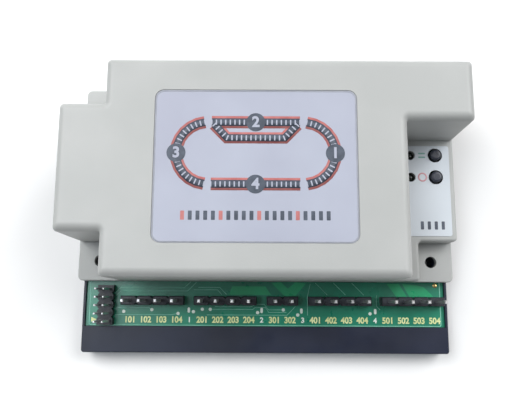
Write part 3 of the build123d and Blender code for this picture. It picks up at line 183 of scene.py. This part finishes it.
# %% [markdown]
# ## Metals
#
# Pins and legs are tinned: a soft grey metal with a slightly uneven shine. Stamped sheet and drawn cans
# show fine lines along the way they were worked. Stretching the noise along one axis gives those lines.

# %% Metals


def plated(name, dark, light, gloss=(0.22, 0.38), grain=1500, stretch=(1, 1, 1), depth=0.004):
    """Plated metal with an uneven shine; stretch draws the grain out along an axis."""
    material, tree, shader = new_finish(name)
    shader.inputs["Metallic"].default_value = 1.0
    drift = object_noise(tree, 320, 3, stretch)
    tree.links.new(ramp(tree, drift, [(0.35, dark), (0.65, light)]), shader.inputs["Base Color"])
    tree.links.new(spread(tree, object_noise(tree, grain, 3, stretch), *gloss), shader.inputs["Roughness"])
    add_bump(tree, shader, object_noise(tree, grain, 2, stretch), depth * MM)
    return material


tinned_pin = plated("tinned_pin", (0.66, 0.66, 0.67), (0.86, 0.86, 0.86), (0.3, 0.46), 900, (1, 1, 0.15), 0.008)
leg_metal = plated("tinned_leg", (0.55, 0.55, 0.54), (0.72, 0.72, 0.71))
sheet_steel = plated("stamped_sheet", (0.5, 0.5, 0.49), (0.64, 0.64, 0.63), (0.25, 0.4), 1200, (0.1, 1, 1))
contact_gold = plated("contact_gold", (0.7, 0.5, 0.2), (0.85, 0.66, 0.32), (0.18, 0.3))
can_aluminium = plated("drawn_can", (0.68, 0.68, 0.68), (0.8, 0.8, 0.8), (0.25, 0.4), 900, (1, 1, 0.2))
crystal_can = plated("crystal_can", (0.62, 0.62, 0.6), (0.74, 0.74, 0.73), (0.2, 0.32))
screw_zinc = plated("screw_zinc", (0.45, 0.46, 0.47), (0.62, 0.63, 0.64), (0.25, 0.45), 1400)
copper_wire = plated("enamelled_copper", (0.4, 0.13, 0.05), (0.6, 0.24, 0.1), (0.2, 0.3), 1600)
black_anodised = plated("black_anodised", (0.012, 0.012, 0.014), (0.03, 0.03, 0.033), (0.4, 0.55), 1800)
print("finishes so far:", len(bpy.data.materials))

# %% [markdown]
# ## The board's solder mask
#
# Solder mask is a glossy green lacquer over woven glass. The weave shows very faintly, and the lacquer
# looks lighter over copper than over bare board. The lighter greens are finishes of their own, for the
# copper areas and the traces that are laid on the board further down. The palest green also draws a thin
# line round the board's rim, a painted highlight for the light caught along the board's edge.

# %% Solder mask, bare and over copper


def solder_mask(name, dark, light):
    """Green lacquer with a clear coat, over a faint woven ground."""
    material, tree, shader = new_finish(name)
    drift = object_noise(tree, 90, 5)
    tree.links.new(ramp(tree, drift, [(0.3, dark), (0.7, light)]), shader.inputs["Base Color"])
    tree.links.new(spread(tree, object_noise(tree, 260, 4), 0.26, 0.4), shader.inputs["Roughness"])
    shader.inputs["Coat Weight"].default_value = 0.6
    shader.inputs["Coat Roughness"].default_value = 0.2
    warp = object_noise(tree, 1300, 1, (1, 0.12, 1))
    weft = object_noise(tree, 1300, 1, (0.12, 1, 1))
    weave = tree.nodes.new("ShaderNodeMath")
    weave.operation = "MAXIMUM"
    tree.links.new(warp, weave.inputs[0])
    tree.links.new(weft, weave.inputs[1])
    add_bump(tree, shader, weave.outputs["Value"], 0.012 * MM)
    return material


mask_green = solder_mask("solder_mask", (0.003, 0.175, 0.1), (0.006, 0.25, 0.145))
mask_copper = solder_mask("mask_over_copper", (0.006, 0.33, 0.13), (0.014, 0.42, 0.18))
# Palest green: the traces, and also the thin rim line further down, which is a painted highlight for the light
# caught along the board's edge.
mask_trace_and_rim_highlight = solder_mask("mask_over_trace_and_rim_highlight", (0.2, 0.56, 0.42), (0.3, 0.7, 0.54))
print("solder mask in three shades:", [m.name for m in (mask_green, mask_copper, mask_trace_and_rim_highlight)])

# %% [markdown]
# ## Printed film, ink and tinted lenses
#
# Both labels are polycarbonate film with a fine matt face. Ink lies on top of it as a thin, slightly
# uneven layer, so each ink has its own finish rather than a patch of colour on the film.

# %% Film, inks and lenses


def ink(name, dark, light, gloss=(0.4, 0.55)):
    """A thin printed layer with slightly uneven cover."""
    return moulded(name, dark, light, gloss, grain=4200, depth=0.002, cloud=380)


label_film = moulded("label_film", (0.365, 0.38, 0.465), (0.425, 0.45, 0.535), (0.32, 0.42), 5200, 0.003, 24)
# The control label's film is lighter than the top label's: partly its own tone, partly painted light for the shaded
# recess of the control step.
control_film_with_painted_light = moulded("control_film_with_painted_light", (0.56, 0.6, 0.65), (0.6, 0.645, 0.69), (0.32, 0.42), 5200, 0.003, 24)
slate_ink = ink("slate_ink", (0.048, 0.06, 0.085), (0.08, 0.097, 0.13))
salmon_ink = ink("salmon_ink", (0.42, 0.135, 0.13), (0.52, 0.19, 0.18))
edge_ink = ink("edge_ink", (0.27, 0.285, 0.33), (0.33, 0.345, 0.39))
white_ink = ink("white_ink", (0.72, 0.84, 0.76), (0.9, 0.95, 0.88))
yellow_ink = ink("yellow_ink", (0.66, 0.72, 0.32), (0.84, 0.88, 0.46))
green_ink = ink("green_ink", (0.16, 0.34, 0.3), (0.22, 0.42, 0.36))
red_ink = ink("red_ink", (0.55, 0.24, 0.27), (0.66, 0.32, 0.35))

light_lens, lens_tree, lens_shader = new_finish("smoked_lens")
lens_shader.inputs["Transmission Weight"].default_value = 0.25
lens_shader.inputs["IOR"].default_value = 1.52
lens_tint = ramp(lens_tree, object_noise(lens_tree, 400, 2),
                 [(0.3, (0.012, 0.016, 0.014)), (0.7, (0.025, 0.03, 0.026))])
lens_tree.links.new(lens_tint, lens_shader.inputs["Base Color"])
lens_tree.links.new(spread(lens_tree, object_noise(lens_tree, 900, 2), 0.08, 0.16), lens_shader.inputs["Roughness"])
print("finishes in all:", len(bpy.data.materials))

# %% [markdown]
# ## One finish for each material slot
#
# The mechanical model names a material slot for every piece. A table from slot to finish then dresses them
# all in one loop. Choosing a finish piece by piece would work too, but two screws could end up with
# different zinc. The control label gets a lighter film than the top label, set after the loop: partly its own
# lighter tone, partly painted light that makes up for the shade of the recess it sits in.

# %% Give every mechanical piece its finish
finishes = {
    "tray_plastic": tray_plastic,
    "cover_plastic": cover_plastic,
    "label_film": label_film,
    "board": mask_green,
    "insulator": insulator,
    "tinned_pin": tinned_pin,
    "switch_plastic": switch_plastic,
    "sheet_steel": sheet_steel,
    "leg_metal": leg_metal,
    "light_lens": light_lens,
    "spacer_plastic": insulator,
    "socket_plastic": socket_plastic,
    "contact_gold": contact_gold,
    "power_contact": crystal_can,
    "can_metal": can_aluminium,
    "capacitor_sleeve": vinyl_sleeve,
    "capacitor_rubber": rubber,
    "ferrite": ferrite,
    "copper_wire": copper_wire,
    "moulding_black": epoxy_black,
    "tab_metal": leg_metal,
    "crystal_can": crystal_can,
    "heatsink_metal": black_anodised,
    "screw_steel": screw_zinc,
    "resistor_ceramic": resistor_glaze,
    "capacitor_ceramic": capacitor_ceramic,
}
for entry in frame["record"]["subparts"]:
    for slot in nodes[entry["node"]].material_slots:
        slot.material = finishes[entry["material_slot"]]
# Painted light: the lighter film brightens the control label where the walls of its recess shade it.
nodes["control_label"].material_slots[0].material = control_film_with_painted_light

# %% [markdown]
# ## Turning a tree of geometry nodes into a plain piece
#
# Vias, sleepers and copper traces are the same small shape many times over, or one section drawn along a
# path. Geometry Nodes suit both: the tree states the rule once, with its sizes as named inputs. A finished
# piece has to be an ordinary mesh, so the result is read back and the modifier is dropped.

# %% Helpers for geometry trees


def start_tree(name, sizes):
    """A geometry tree with named sizes and a material as its inputs."""
    tree = bpy.data.node_groups.new(name, "GeometryNodeTree")
    tree.interface.new_socket("Geometry", in_out="INPUT", socket_type="NodeSocketGeometry")
    for label in sizes:
        tree.interface.new_socket(label, in_out="INPUT", socket_type="NodeSocketFloat")
    tree.interface.new_socket("Material", in_out="INPUT", socket_type="NodeSocketMaterial")
    tree.interface.new_socket("Geometry", in_out="OUTPUT", socket_type="NodeSocketGeometry")
    return tree, tree.nodes.new("NodeGroupInput")


def end_tree(tree, given, geometry):
    """Closes a tree with Realize Instances, Set Material and its output."""
    realize = tree.nodes.new("GeometryNodeRealizeInstances")
    colour = tree.nodes.new("GeometryNodeSetMaterial")
    result = tree.nodes.new("NodeGroupOutput")
    tree.links.new(geometry, realize.inputs["Geometry"])
    tree.links.new(realize.outputs["Geometry"], colour.inputs["Geometry"])
    tree.links.new(given.outputs["Material"], colour.inputs["Material"])
    tree.links.new(colour.outputs["Geometry"], result.inputs["Geometry"])


def vector_of(tree, x, y, z):
    """Joins three size outputs into one vector."""
    node = tree.nodes.new("ShaderNodeCombineXYZ")
    for source, target in zip((x, y, z), node.inputs):
        tree.links.new(source, target)
    return node.outputs["Vector"]


def grow(name, seed, tree, material, slot, **sizes):
    """Runs a tree on a seed object and keeps the result as a mesh that belongs to the case."""
    modifier = seed.modifiers.new("grow", "NODES")
    modifier.node_group = tree
    values = {key.replace("_", " ").title(): value for key, value in sizes.items()}
    values["Material"] = material
    for item in tree.interface.items_tree:
        if item.in_out == "INPUT" and item.name in values:
            modifier[item.identifier] = values[item.name]
    depsgraph = bpy.context.evaluated_depsgraph_get()
    mesh = bpy.data.meshes.new_from_object(seed.evaluated_get(depsgraph))
    seed.modifiers.remove(modifier)
    bpy.data.objects.remove(seed)
    return keep(name, mesh, material)


def keep(name, mesh, material):
    """Puts a finished mesh in the scene, riding on the case, with its finish."""
    mesh.name = name
    mesh.materials.clear()
    mesh.materials.append(material)
    piece = bpy.data.objects.new(name, mesh)
    bpy.context.scene.collection.objects.link(piece)
    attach(piece, "root")
    return piece


print("a tree starts, ends, and is read back as a mesh by", grow.__name__)

# %% [markdown]
# ## Something for a tree to grow on
#
# A tree needs an object to start from. Loose points say where domes go, and a curve says where a strip or a
# row of bars runs. A seed is removed once the finished mesh has been read back.

# %% Seeds: loose points and flat paths


def point_seed(points):
    """An object with one loose vertex at each point."""
    mesh = bpy.data.meshes.new("points")
    mesh.from_pydata([tuple(point) for point in points], [], [])
    seed = bpy.data.objects.new("points", mesh)
    bpy.context.scene.collection.objects.link(seed)
    return seed


def path_seed(paths, height, closed=False, rise=0.0):
    """A curve object with one straight-sided path for each list of (x, y) in metres, each higher by rise."""
    curve = bpy.data.curves.new("paths", "CURVE")
    curve.dimensions = "3D"
    for number, path in enumerate(paths):
        spline = curve.splines.new("POLY")
        spline.points.add(len(path) - 1)
        spline.use_cyclic_u = closed
        for point, (x, y) in zip(spline.points, path):
            point.co = (x, y, height + number * rise, 1)
    seed = bpy.data.objects.new("paths", curve)
    bpy.context.scene.collection.objects.link(seed)
    return seed


print("seeds:", point_seed.__name__, "and", path_seed.__name__)

# %% [markdown]
# ## Three trees
#
# `dots` sets a low dome on every point, for vias and pads. `ribbon` draws a flat strip along a path, for
# traces and printed lines. `sleepers` lays bars across a path at an even spacing, for the printed track.

# %% The dots tree
dots, given = start_tree("dots", ["Radius", "Height"])
ball = dots.nodes.new("GeometryNodeMeshUVSphere")
ball.inputs["Segments"].default_value = 20
ball.inputs["Rings"].default_value = 8
ball.inputs["Radius"].default_value = 1.0
place = dots.nodes.new("GeometryNodeInstanceOnPoints")
dots.links.new(given.outputs["Geometry"], place.inputs["Points"])
dots.links.new(ball.outputs["Mesh"], place.inputs["Instance"])
dome = vector_of(dots, given.outputs["Radius"], given.outputs["Radius"], given.outputs["Height"])
dots.links.new(dome, place.inputs["Scale"])
end_tree(dots, given, place.outputs["Instances"])
print("dots tree has", len(dots.nodes), "nodes")

# %% The ribbon tree
ribbon, given = start_tree("ribbon", ["Width", "Height"])
flat = ribbon.nodes.new("GeometryNodeSetCurveNormal")
flat.mode = "Z_UP"
section = ribbon.nodes.new("GeometryNodeCurvePrimitiveQuadrilateral")
sweep = ribbon.nodes.new("GeometryNodeCurveToMesh")
sweep.inputs["Fill Caps"].default_value = True
ribbon.links.new(given.outputs["Geometry"], flat.inputs["Curve"])
ribbon.links.new(given.outputs["Width"], section.inputs["Width"])
ribbon.links.new(given.outputs["Height"], section.inputs["Height"])
ribbon.links.new(flat.outputs["Curve"], sweep.inputs["Curve"])
ribbon.links.new(section.outputs["Curve"], sweep.inputs["Profile Curve"])
end_tree(ribbon, given, sweep.outputs["Mesh"])
print("ribbon tree has", len(ribbon.nodes), "nodes")

# %% The sleepers tree
sleepers, given = start_tree("sleepers", ["Spacing", "Length", "Width", "Height"])
even = sleepers.nodes.new("GeometryNodeResampleCurve")
even.mode = "LENGTH"
bar = sleepers.nodes.new("GeometryNodeMeshCube")
along = sleepers.nodes.new("GeometryNodeInputTangent")
turn = sleepers.nodes.new("FunctionNodeAlignRotationToVector")
turn.axis = "X"
lay = sleepers.nodes.new("GeometryNodeInstanceOnPoints")
sleepers.links.new(given.outputs["Geometry"], even.inputs["Curve"])
sleepers.links.new(given.outputs["Spacing"], even.inputs["Length"])
bar_size = vector_of(sleepers, given.outputs["Width"], given.outputs["Length"], given.outputs["Height"])
sleepers.links.new(bar_size, bar.inputs["Size"])
sleepers.links.new(along.outputs["Tangent"], turn.inputs["Vector"])
sleepers.links.new(even.outputs["Curve"], lay.inputs["Points"])
sleepers.links.new(bar.outputs["Mesh"], lay.inputs["Instance"])
sleepers.links.new(turn.outputs["Rotation"], lay.inputs["Rotation"])
end_tree(sleepers, given, lay.outputs["Instances"])
print("trees:", [tree.name for tree in bpy.data.node_groups])

# %% [markdown]
# ## Plates and lettering
#
# A copper area or a printed patch is a flat outline with a hair of thickness. Numbers start as text, which
# is turned into a mesh before it is put in place, because a finished piece has to sit at the origin.

# %% Helpers for plates and numbers
CAP_HEIGHT = 0.7  # a figure's height, for a font of size 1
BOLDER = 0.05  # how far a stroke is widened, as a part of the figure's height


def plates(name, outlines, bottom, thickness, material):
    """One mesh with a thin plate for each outline of (x, y) points in metres, listed anticlockwise."""
    shape = bmesh.new()
    for outline in outlines:
        low = [shape.verts.new((x, y, bottom)) for x, y in outline]
        high = [shape.verts.new((x, y, bottom + thickness)) for x, y in outline]
        shape.faces.new(high)
        shape.faces.new(low[::-1])
        for i in range(len(outline)):
            j = (i + 1) % len(outline)
            shape.faces.new((low[i], low[j], high[j], high[i]))
    bmesh.ops.recalc_face_normals(shape, faces=shape.faces)
    mesh = bpy.data.meshes.new(name)
    shape.to_mesh(mesh)
    shape.free()
    return keep(name, mesh, material)


def numbers(name, entries, size, bottom, thickness, material, stretch=1.0):
    """One mesh with all the texts: entries are (text, x, y), size is a figure's height in metres."""
    whole = bmesh.new()
    for text, x, y in entries:
        font = bpy.data.curves.new("number", "FONT")
        font.body = text
        font.size = size / CAP_HEIGHT
        font.align_x, font.align_y = "CENTER", "CENTER"
        font.extrude = thickness / 2
        font.offset = BOLDER * size
        holder = bpy.data.objects.new("number", font)
        bpy.context.scene.collection.objects.link(holder)
        depsgraph = bpy.context.evaluated_depsgraph_get()
        mesh = bpy.data.meshes.new_from_object(holder.evaluated_get(depsgraph))
        wide = Matrix.Diagonal((stretch, 1, 1, 1))
        mesh.transform(Matrix.Translation((x, y, bottom + thickness / 2)) @ wide)
        whole.from_mesh(mesh)
        bpy.data.objects.remove(holder)
    mesh = bpy.data.meshes.new(name)
    whole.to_mesh(mesh)
    whole.free()
    return keep(name, mesh, material)


def rounded_box(x, y, width, depth, radius, steps=6):
    """Outline of a rectangle with round corners, anticlockwise from its front right corner."""
    outline = []
    corners = ((1, -1, -90), (1, 1, 0), (-1, 1, 90), (-1, -1, 180))
    for side_x, side_y, start in corners:
        centre_x = x + side_x * (width / 2 - radius)
        centre_y = y + side_y * (depth / 2 - radius)
        for step in range(steps + 1):
            angle = math.radians(start + 90 * step / steps)
            outline.append((centre_x + radius * math.cos(angle), centre_y + radius * math.sin(angle)))
    return outline


def on_board(points):
    """Points in metres, from (x, y) in millimetres: x from the board's middle, y from its front edge."""
    return [(x * MM, board_front + y * MM) for x, y in points]


print("outline helpers: plates, numbers, rounded_box, on_board")

# %% [markdown]
# ## Copper on the board
#
# On the real board the copper lies under the green lacquer and lifts it by a few hundredths of a
# millimetre. Broad areas feed the track sections, and thin traces run to the small parts under the cover.
# They are listed one by one, because a real layout follows no simple rule.

# %% Copper areas
COPPER = 0.04 * MM
areas = [
    on_board([(-11.8, 10.1), (2.0, 10.1), (0.1, 12.9), (-10.8, 12.9)]),
    on_board([(6.4, 9.8), (9.9, 9.8), (13.5, 13.9), (10.0, 14.3), (7.5, 12.2), (5.2, 14.3), (2.2, 13.9)]),
    on_board([(43.0, 9.8), (46.5, 9.8), (44.0, 13.9), (40.0, 13.9)]),
    on_board([(47.3, 9.8), (55.2, 9.8), (52.2, 12.8), (50.0, 13.4), (45.1, 13.9)]),
]
plates("copper_areas", areas, board_top, COPPER, mask_copper)
print(len(areas), "copper areas")

# %% Traces
traces = [
    [(-48.9, 10.8), (-47.3, 12.4), (-26.5, 12.4), (-24.4, 14.3)],
    [(-48.9, 9.6), (-47.2, 11.3), (-25.4, 11.3), (-22.6, 14.1)],
    [(-48.7, 5.9), (-38.0, 5.9), (-37.0, 5.2)],
    [(-49.0, 3.5), (-45.0, 3.6), (-30.6, 3.6), (-28.4, 4.0)],
    [(-22.0, 12.5), (-14.9, 12.5), (-12.6, 10.2)],
    [(-23.4, 11.7), (-15.6, 11.7), (-14.2, 10.2)],
    [(-16.4, 6.3), (-4.5, 6.3), (-2.8, 7.1), (-0.3, 7.1), (1.2, 5.3), (6.0, 5.3)],
    [(-17.9, 5.4), (-4.0, 5.4), (-3.3, 6.0), (0.2, 6.0), (1.2, 4.5), (7.0, 4.5)],
    [(-19.0, 3.6), (7.2, 3.6), (8.5, 4.9), (9.9, 6.4)],
    [(13.9, 3.6), (13.9, 9.6), (14.9, 13.8)],
    [(16.5, 14.1), (20.4, 10.2)],
    [(22.5, 14.1), (26.4, 10.2)],
    [(28.5, 14.1), (32.4, 10.2)],
    [(36.5, 10.2), (36.5, 6.6), (37.6, 5.5)],
]
trace_paths = path_seed([on_board(path) for path in traces], board_top + COPPER / 2)
grow("board_traces", trace_paths, ribbon, mask_trace_and_rim_highlight, "board", width=0.16 * MM, height=COPPER)
# The rim line is a painted highlight: a pale ribbon just inside the board's edge stands in for the light that edge
# catches.
rim = rounded_box(0, (board_low.y + board_high.y) / 2, board_high.x - board_low.x - 2.4 * MM,
                  board_high.y - board_low.y - 0.5 * MM, 0.6 * MM)
grow("board_rim_painted_highlight", path_seed([rim], board_top + COPPER / 2, closed=True), ribbon, mask_trace_and_rim_highlight, "board",
     width=0.25 * MM, height=COPPER)
print(len(traces), "traces and a rim trace")

# %% Vias, pads and a plated test point
PAD = 0.08 * MM
vias = on_board([(-46.2, 4.6), (-37.0, 5.2), (-28.4, 4.0), (-23.4, 4.6), (-20.5, 5.4), (-17.9, 5.4),
                 (-2.4, 4.4), (6.0, 5.3), (10.7, 3.7), (34.3, 4.2)])
grow("vias", point_seed([(x, y, board_top) for x, y in vias]), dots, white_ink, "leg_metal",
     radius=0.55 * MM, height=0.12 * MM)
pads = [rounded_box(x, y, 0.85 * MM, 1.7 * MM, 0.4 * MM)
        for x, y in on_board([(-24.9, 5.1), (-1.1, 5.1), (11.9, 5.0), (36.0, 4.9)])]
plates("test_pads", pads, board_top, PAD, white_ink)
test_x, test_y = on_board([(55.8, 13.4)])[0]
grow("gold_point", point_seed([(test_x, test_y, board_top)]), dots, contact_gold, "contact_gold",
     radius=0.75 * MM, height=0.15 * MM)
print(len(vias), "vias and", len(pads), "pads")

# %% [markdown]
# ## Numbers along the board's edge
#
# Every terminal has a number under it, and a white figure marks each joint between two sections. Plain
# counting is used: the section's number first, then the terminal's place in its strip.

# %% Terminal numbers
NUMBER_HEIGHT = 1.9 * MM
BOARD_INK = 0.03 * MM
number_row = board_front + 1.95 * MM
terminal_numbers = [
    (f"{section}{place:02d}", pin.x, number_row)
    for section, strip in enumerate(strips, start=1)
    for place, pin in enumerate(strip, start=1)
]
numbers("terminal_numbers", terminal_numbers, NUMBER_HEIGHT, board_top, BOARD_INK, yellow_ink, 0.92)
joints = [(str(i + 1), (strips[i][-1].x + strips[i + 1][0].x) / 2, number_row) for i in range(4)]
numbers("section_numbers", joints, 1.6 * MM, board_top, BOARD_INK, white_ink)
header_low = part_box("header_body")[0]
corner_mark = [(header_low.x - 2.4 * MM, number_row - 0.8 * MM), (header_low.x - 0.6 * MM, number_row),
               (header_low.x - 2.4 * MM, number_row + 0.8 * MM)]
plates("first_pin_mark", [corner_mark], board_top, BOARD_INK, yellow_ink)
print(len(terminal_numbers), "terminal numbers from", terminal_numbers[0][0], "to", terminal_numbers[-1][0])

# %% [markdown]
# ## The top label
#
# The film carries a neutral diagram of what the unit does: an oval of track with a passing loop, cut into
# four numbered sections. Each length of track is a red edging, a narrower dark bed on top of it and a row
# of pale bars on the bed. Laying them as three thin layers keeps every edge sharp from close by.

# %% Track lines for the label


def arc(x, y, radius, start, end, steps=12):
    """Points along a circular arc, in millimetres from the label's middle."""
    angles = [math.radians(start + (end - start) * step / steps) for step in range(steps + 1)]
    return [(x + radius * math.cos(angle), y + radius * math.sin(angle)) for angle in angles]


def on_label(points):
    """Millimetres from the label's middle to metres in the scene."""
    return [(label_middle.x + x * MM, label_middle.y + y * MM) for x, y in points]


INK = 0.02 * MM
RISE = 0.002 * MM  # from one track to the next, so that two that cross share no face
MARKER = 2.2 * INK
label_top = label_high.z
LOOP_X, LOOP_RADIUS, LOOP_MIDDLE = 13.6, 9.0, 3.5
right_bend = arc(LOOP_X, LOOP_MIDDLE, LOOP_RADIUS, -84, 84)
left_bend = arc(-LOOP_X, LOOP_MIDDLE, LOOP_RADIUS, 96, 264)
back_straight = [(LOOP_X - 1, LOOP_MIDDLE + LOOP_RADIUS), (-LOOP_X + 1, LOOP_MIDDLE + LOOP_RADIUS)]
front_straight = [(-LOOP_X + 1, LOOP_MIDDLE - LOOP_RADIUS), (LOOP_X - 1, LOOP_MIDDLE - LOOP_RADIUS)]
passing_loop = [(-LOOP_X + 1.8, LOOP_MIDDLE + 8.3), (-LOOP_X + 5.4, LOOP_MIDDLE + 4.4),
                (LOOP_X - 5.4, LOOP_MIDDLE + 4.4), (LOOP_X - 1.8, LOOP_MIDDLE + 8.3)]
sections = [right_bend, back_straight, left_bend, front_straight]
all_track = [on_label(path) for path in [passing_loop] + sections]

grow("printed_edging", path_seed(all_track, label_top + INK / 4, rise=RISE), ribbon, salmon_ink, "label_film",
     width=3.6 * MM, height=INK / 2)
grow("printed_bed", path_seed(all_track, label_top + INK / 2, rise=RISE), ribbon, slate_ink, "label_film",
     width=2.3 * MM, height=INK)
grow("printed_sleepers", path_seed(all_track, label_top + INK, rise=RISE), sleepers, label_film, "label_film",
     spacing=1.3 * MM, length=1.5 * MM, width=0.38 * MM, height=INK)
print(len(all_track), "lengths of printed track")

# %% [markdown]
# ## Markers and the line of bars
#
# A round marker names each section. It is thicker than the track, so that it covers the bars under it. The
# row of bars near the label's front edge is printed in two inks, and each ink is a piece of its own.

# %% Section markers and the label's lower line
marker_spots = on_label([(LOOP_X + LOOP_RADIUS, LOOP_MIDDLE), (0, LOOP_MIDDLE + LOOP_RADIUS),
                         (-LOOP_X - LOOP_RADIUS, LOOP_MIDDLE), (0, LOOP_MIDDLE - LOOP_RADIUS)])
MARKER_WIDTH = 5.4 * MM
markers = [rounded_box(x, y, MARKER_WIDTH, MARKER_WIDTH, 2.69 * MM, 10) for x, y in marker_spots]
plates("section_markers", markers, label_top, MARKER, slate_ink)
numbers("section_figures", [(str(i), x, y) for i, (x, y) in enumerate(marker_spots, start=1)],
        3.0 * MM, label_top + MARKER, INK / 2, label_film)
label_size = label_high - label_low
keyline = rounded_box(label_middle.x, label_middle.y, label_size.x - 0.5 * MM, label_size.y - 0.5 * MM, 2.3 * MM)
grow("label_keyline", path_seed([keyline], label_top + INK / 2, closed=True), ribbon, edge_ink, "label_film",
     width=0.3 * MM, height=INK)
DASHES, DASH_PITCH = 20, 2.15 * MM
dash_row = label_middle.y - 14.4 * MM
dashes = [rounded_box(label_middle.x + (i - (DASHES - 1) / 2) * DASH_PITCH, dash_row, 1.1 * MM, 2.6 * MM, 0.15 * MM)
          for i in range(DASHES)]
plates("label_red_dashes", dashes[::5], label_top, INK, salmon_ink)
plates("label_dark_dashes", [dash for i, dash in enumerate(dashes) if i % 5], label_top, INK, slate_ink)
print(len(markers), "section markers and", len(dashes), "dashes")

# %% [markdown]
# ## The control label
#
# Beside each pair of light and button the film has a small coloured mark, so that the two rows can be
# told apart. Four short bars near the front stand for the four track sections.

# %% Marks on the control step
control_top = control_high.z
rear_low, rear_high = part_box("rear_button")
front_low, front_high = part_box("front_button")
rear_row = (rear_low.y + rear_high.y) / 2
front_row = (front_low.y + front_high.y) / 2
mark_x = (rear_low.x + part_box("rear_light")[1].x) / 2 - 0.1 * MM
green_marks = [rounded_box(mark_x, rear_row + side * 0.62 * MM, 2.2 * MM, 0.5 * MM, 0.15 * MM) for side in (-1, 1)]
plates("rear_row_mark", green_marks, control_top, INK, green_ink)
ring = arc(0, 0, 1.25, 0, 345, 22)
red_ring = [(mark_x + x * MM, front_row + y * MM) for x, y in ring]
grow("front_row_mark", path_seed([red_ring], control_top + INK / 2, closed=True), ribbon, red_ink, "label_film",
     width=0.45 * MM, height=INK)
BAR_PITCH = 2.2
bar_row = control_low.y + 3.4 * MM
bars = [rounded_box(control_high.x - (9.4 - BAR_PITCH * i) * MM, bar_row, 1.0 * MM, 2.6 * MM, 0.2 * MM)
        for i in range(4)]
plates("section_bars", bars, control_top, INK, slate_ink)
print("marks on the control step:", len(green_marks) + len(bars) + 1)

# %% [markdown]
# ## Floor, light and camera
#
# A pale floor and two large soft boxes, left and right behind the object, give an even look. A box right
# overhead would be mirrored in the board and wash its green out. Standing behind, the boxes light the tops
# and leave the front walls darker. A weak bluish light on the left adds the faint sheen of the lacquer.
# The camera looks down from about 20 cm, tipped a few degrees towards the back.

# %% Floor
floor_mesh = bpy.data.meshes.new("floor")
floor_mesh.from_pydata([(-2, -2, 0), (2, -2, 0), (2, 2, 0), (-2, 2, 0)], [], [(0, 1, 2, 3)])
floor = bpy.data.objects.new("floor", floor_mesh)
bpy.context.scene.collection.objects.link(floor)
floor_paint = moulded("pale_floor", (0.9, 0.9, 0.9), (0.92, 0.92, 0.92), (0.7, 0.8), 60, 0.0, 3)
floor_mesh.materials.append(floor_paint)
print("floor is", round(floor.dimensions.x, 2), "m wide")

# %% Lights
world = bpy.data.worlds.new("studio")
world.use_nodes = True
sky = world.node_tree.nodes["Background"]
sky.inputs["Color"].default_value = (0.97, 0.985, 1.0, 1)
sky.inputs["Strength"].default_value = 0.165
bpy.context.scene.world = world


def soft_light(name, place, target, size, power, colour=(1, 1, 1)):
    """A square area light at a place, facing a target."""
    data = bpy.data.lights.new(name, "AREA")
    data.shape = "SQUARE"
    data.size = size
    data.energy = power
    data.color = colour
    lamp = bpy.data.objects.new(name, data)
    lamp.location = place
    lamp.rotation_euler = (Vector(target) - Vector(place)).to_track_quat("-Z", "Y").to_euler()
    bpy.context.scene.collection.objects.link(lamp)


soft_light("left_box", (-0.7, 0.5, 1.0), (0, 0, 0.02), 1.0, 15.5)
soft_light("right_box", (0.85, 0.55, 1.0), (0, 0, 0.02), 1.0, 16.0)
soft_light("left_sheen", (-0.5, -0.05, 1.1), (-0.04, 0, 0.01), 0.45, 1.9, (0.78, 0.9, 1.0))
bpy.context.scene.view_settings.view_transform = "Standard"
print("lights:", [lamp.name for lamp in bpy.data.lights])

# %% Camera
EYE = Vector((-2.6 * MM, board_front + 9.2 * MM, 202.1 * MM))
YAW, TILT, ROLL = 0.93, 9.44, 0.64
camera_data = bpy.data.cameras.new("camera")
camera_data.lens = 41.33
camera_data.sensor_width = 36.0
camera_data.clip_start = 0.01
camera = bpy.data.objects.new("camera", camera_data)
turned = Matrix.Rotation(math.radians(YAW), 4, "Z") @ Matrix.Rotation(math.radians(TILT), 4, "X")
camera.matrix_world = Matrix.Translation(EYE) @ turned @ Matrix.Rotation(math.radians(-ROLL), 4, "Z")
bpy.context.scene.collection.objects.link(camera)
bpy.context.scene.camera = camera
print("camera", round(EYE.z / MM), "mm above the floor, lens", round(camera_data.lens, 1), "mm")
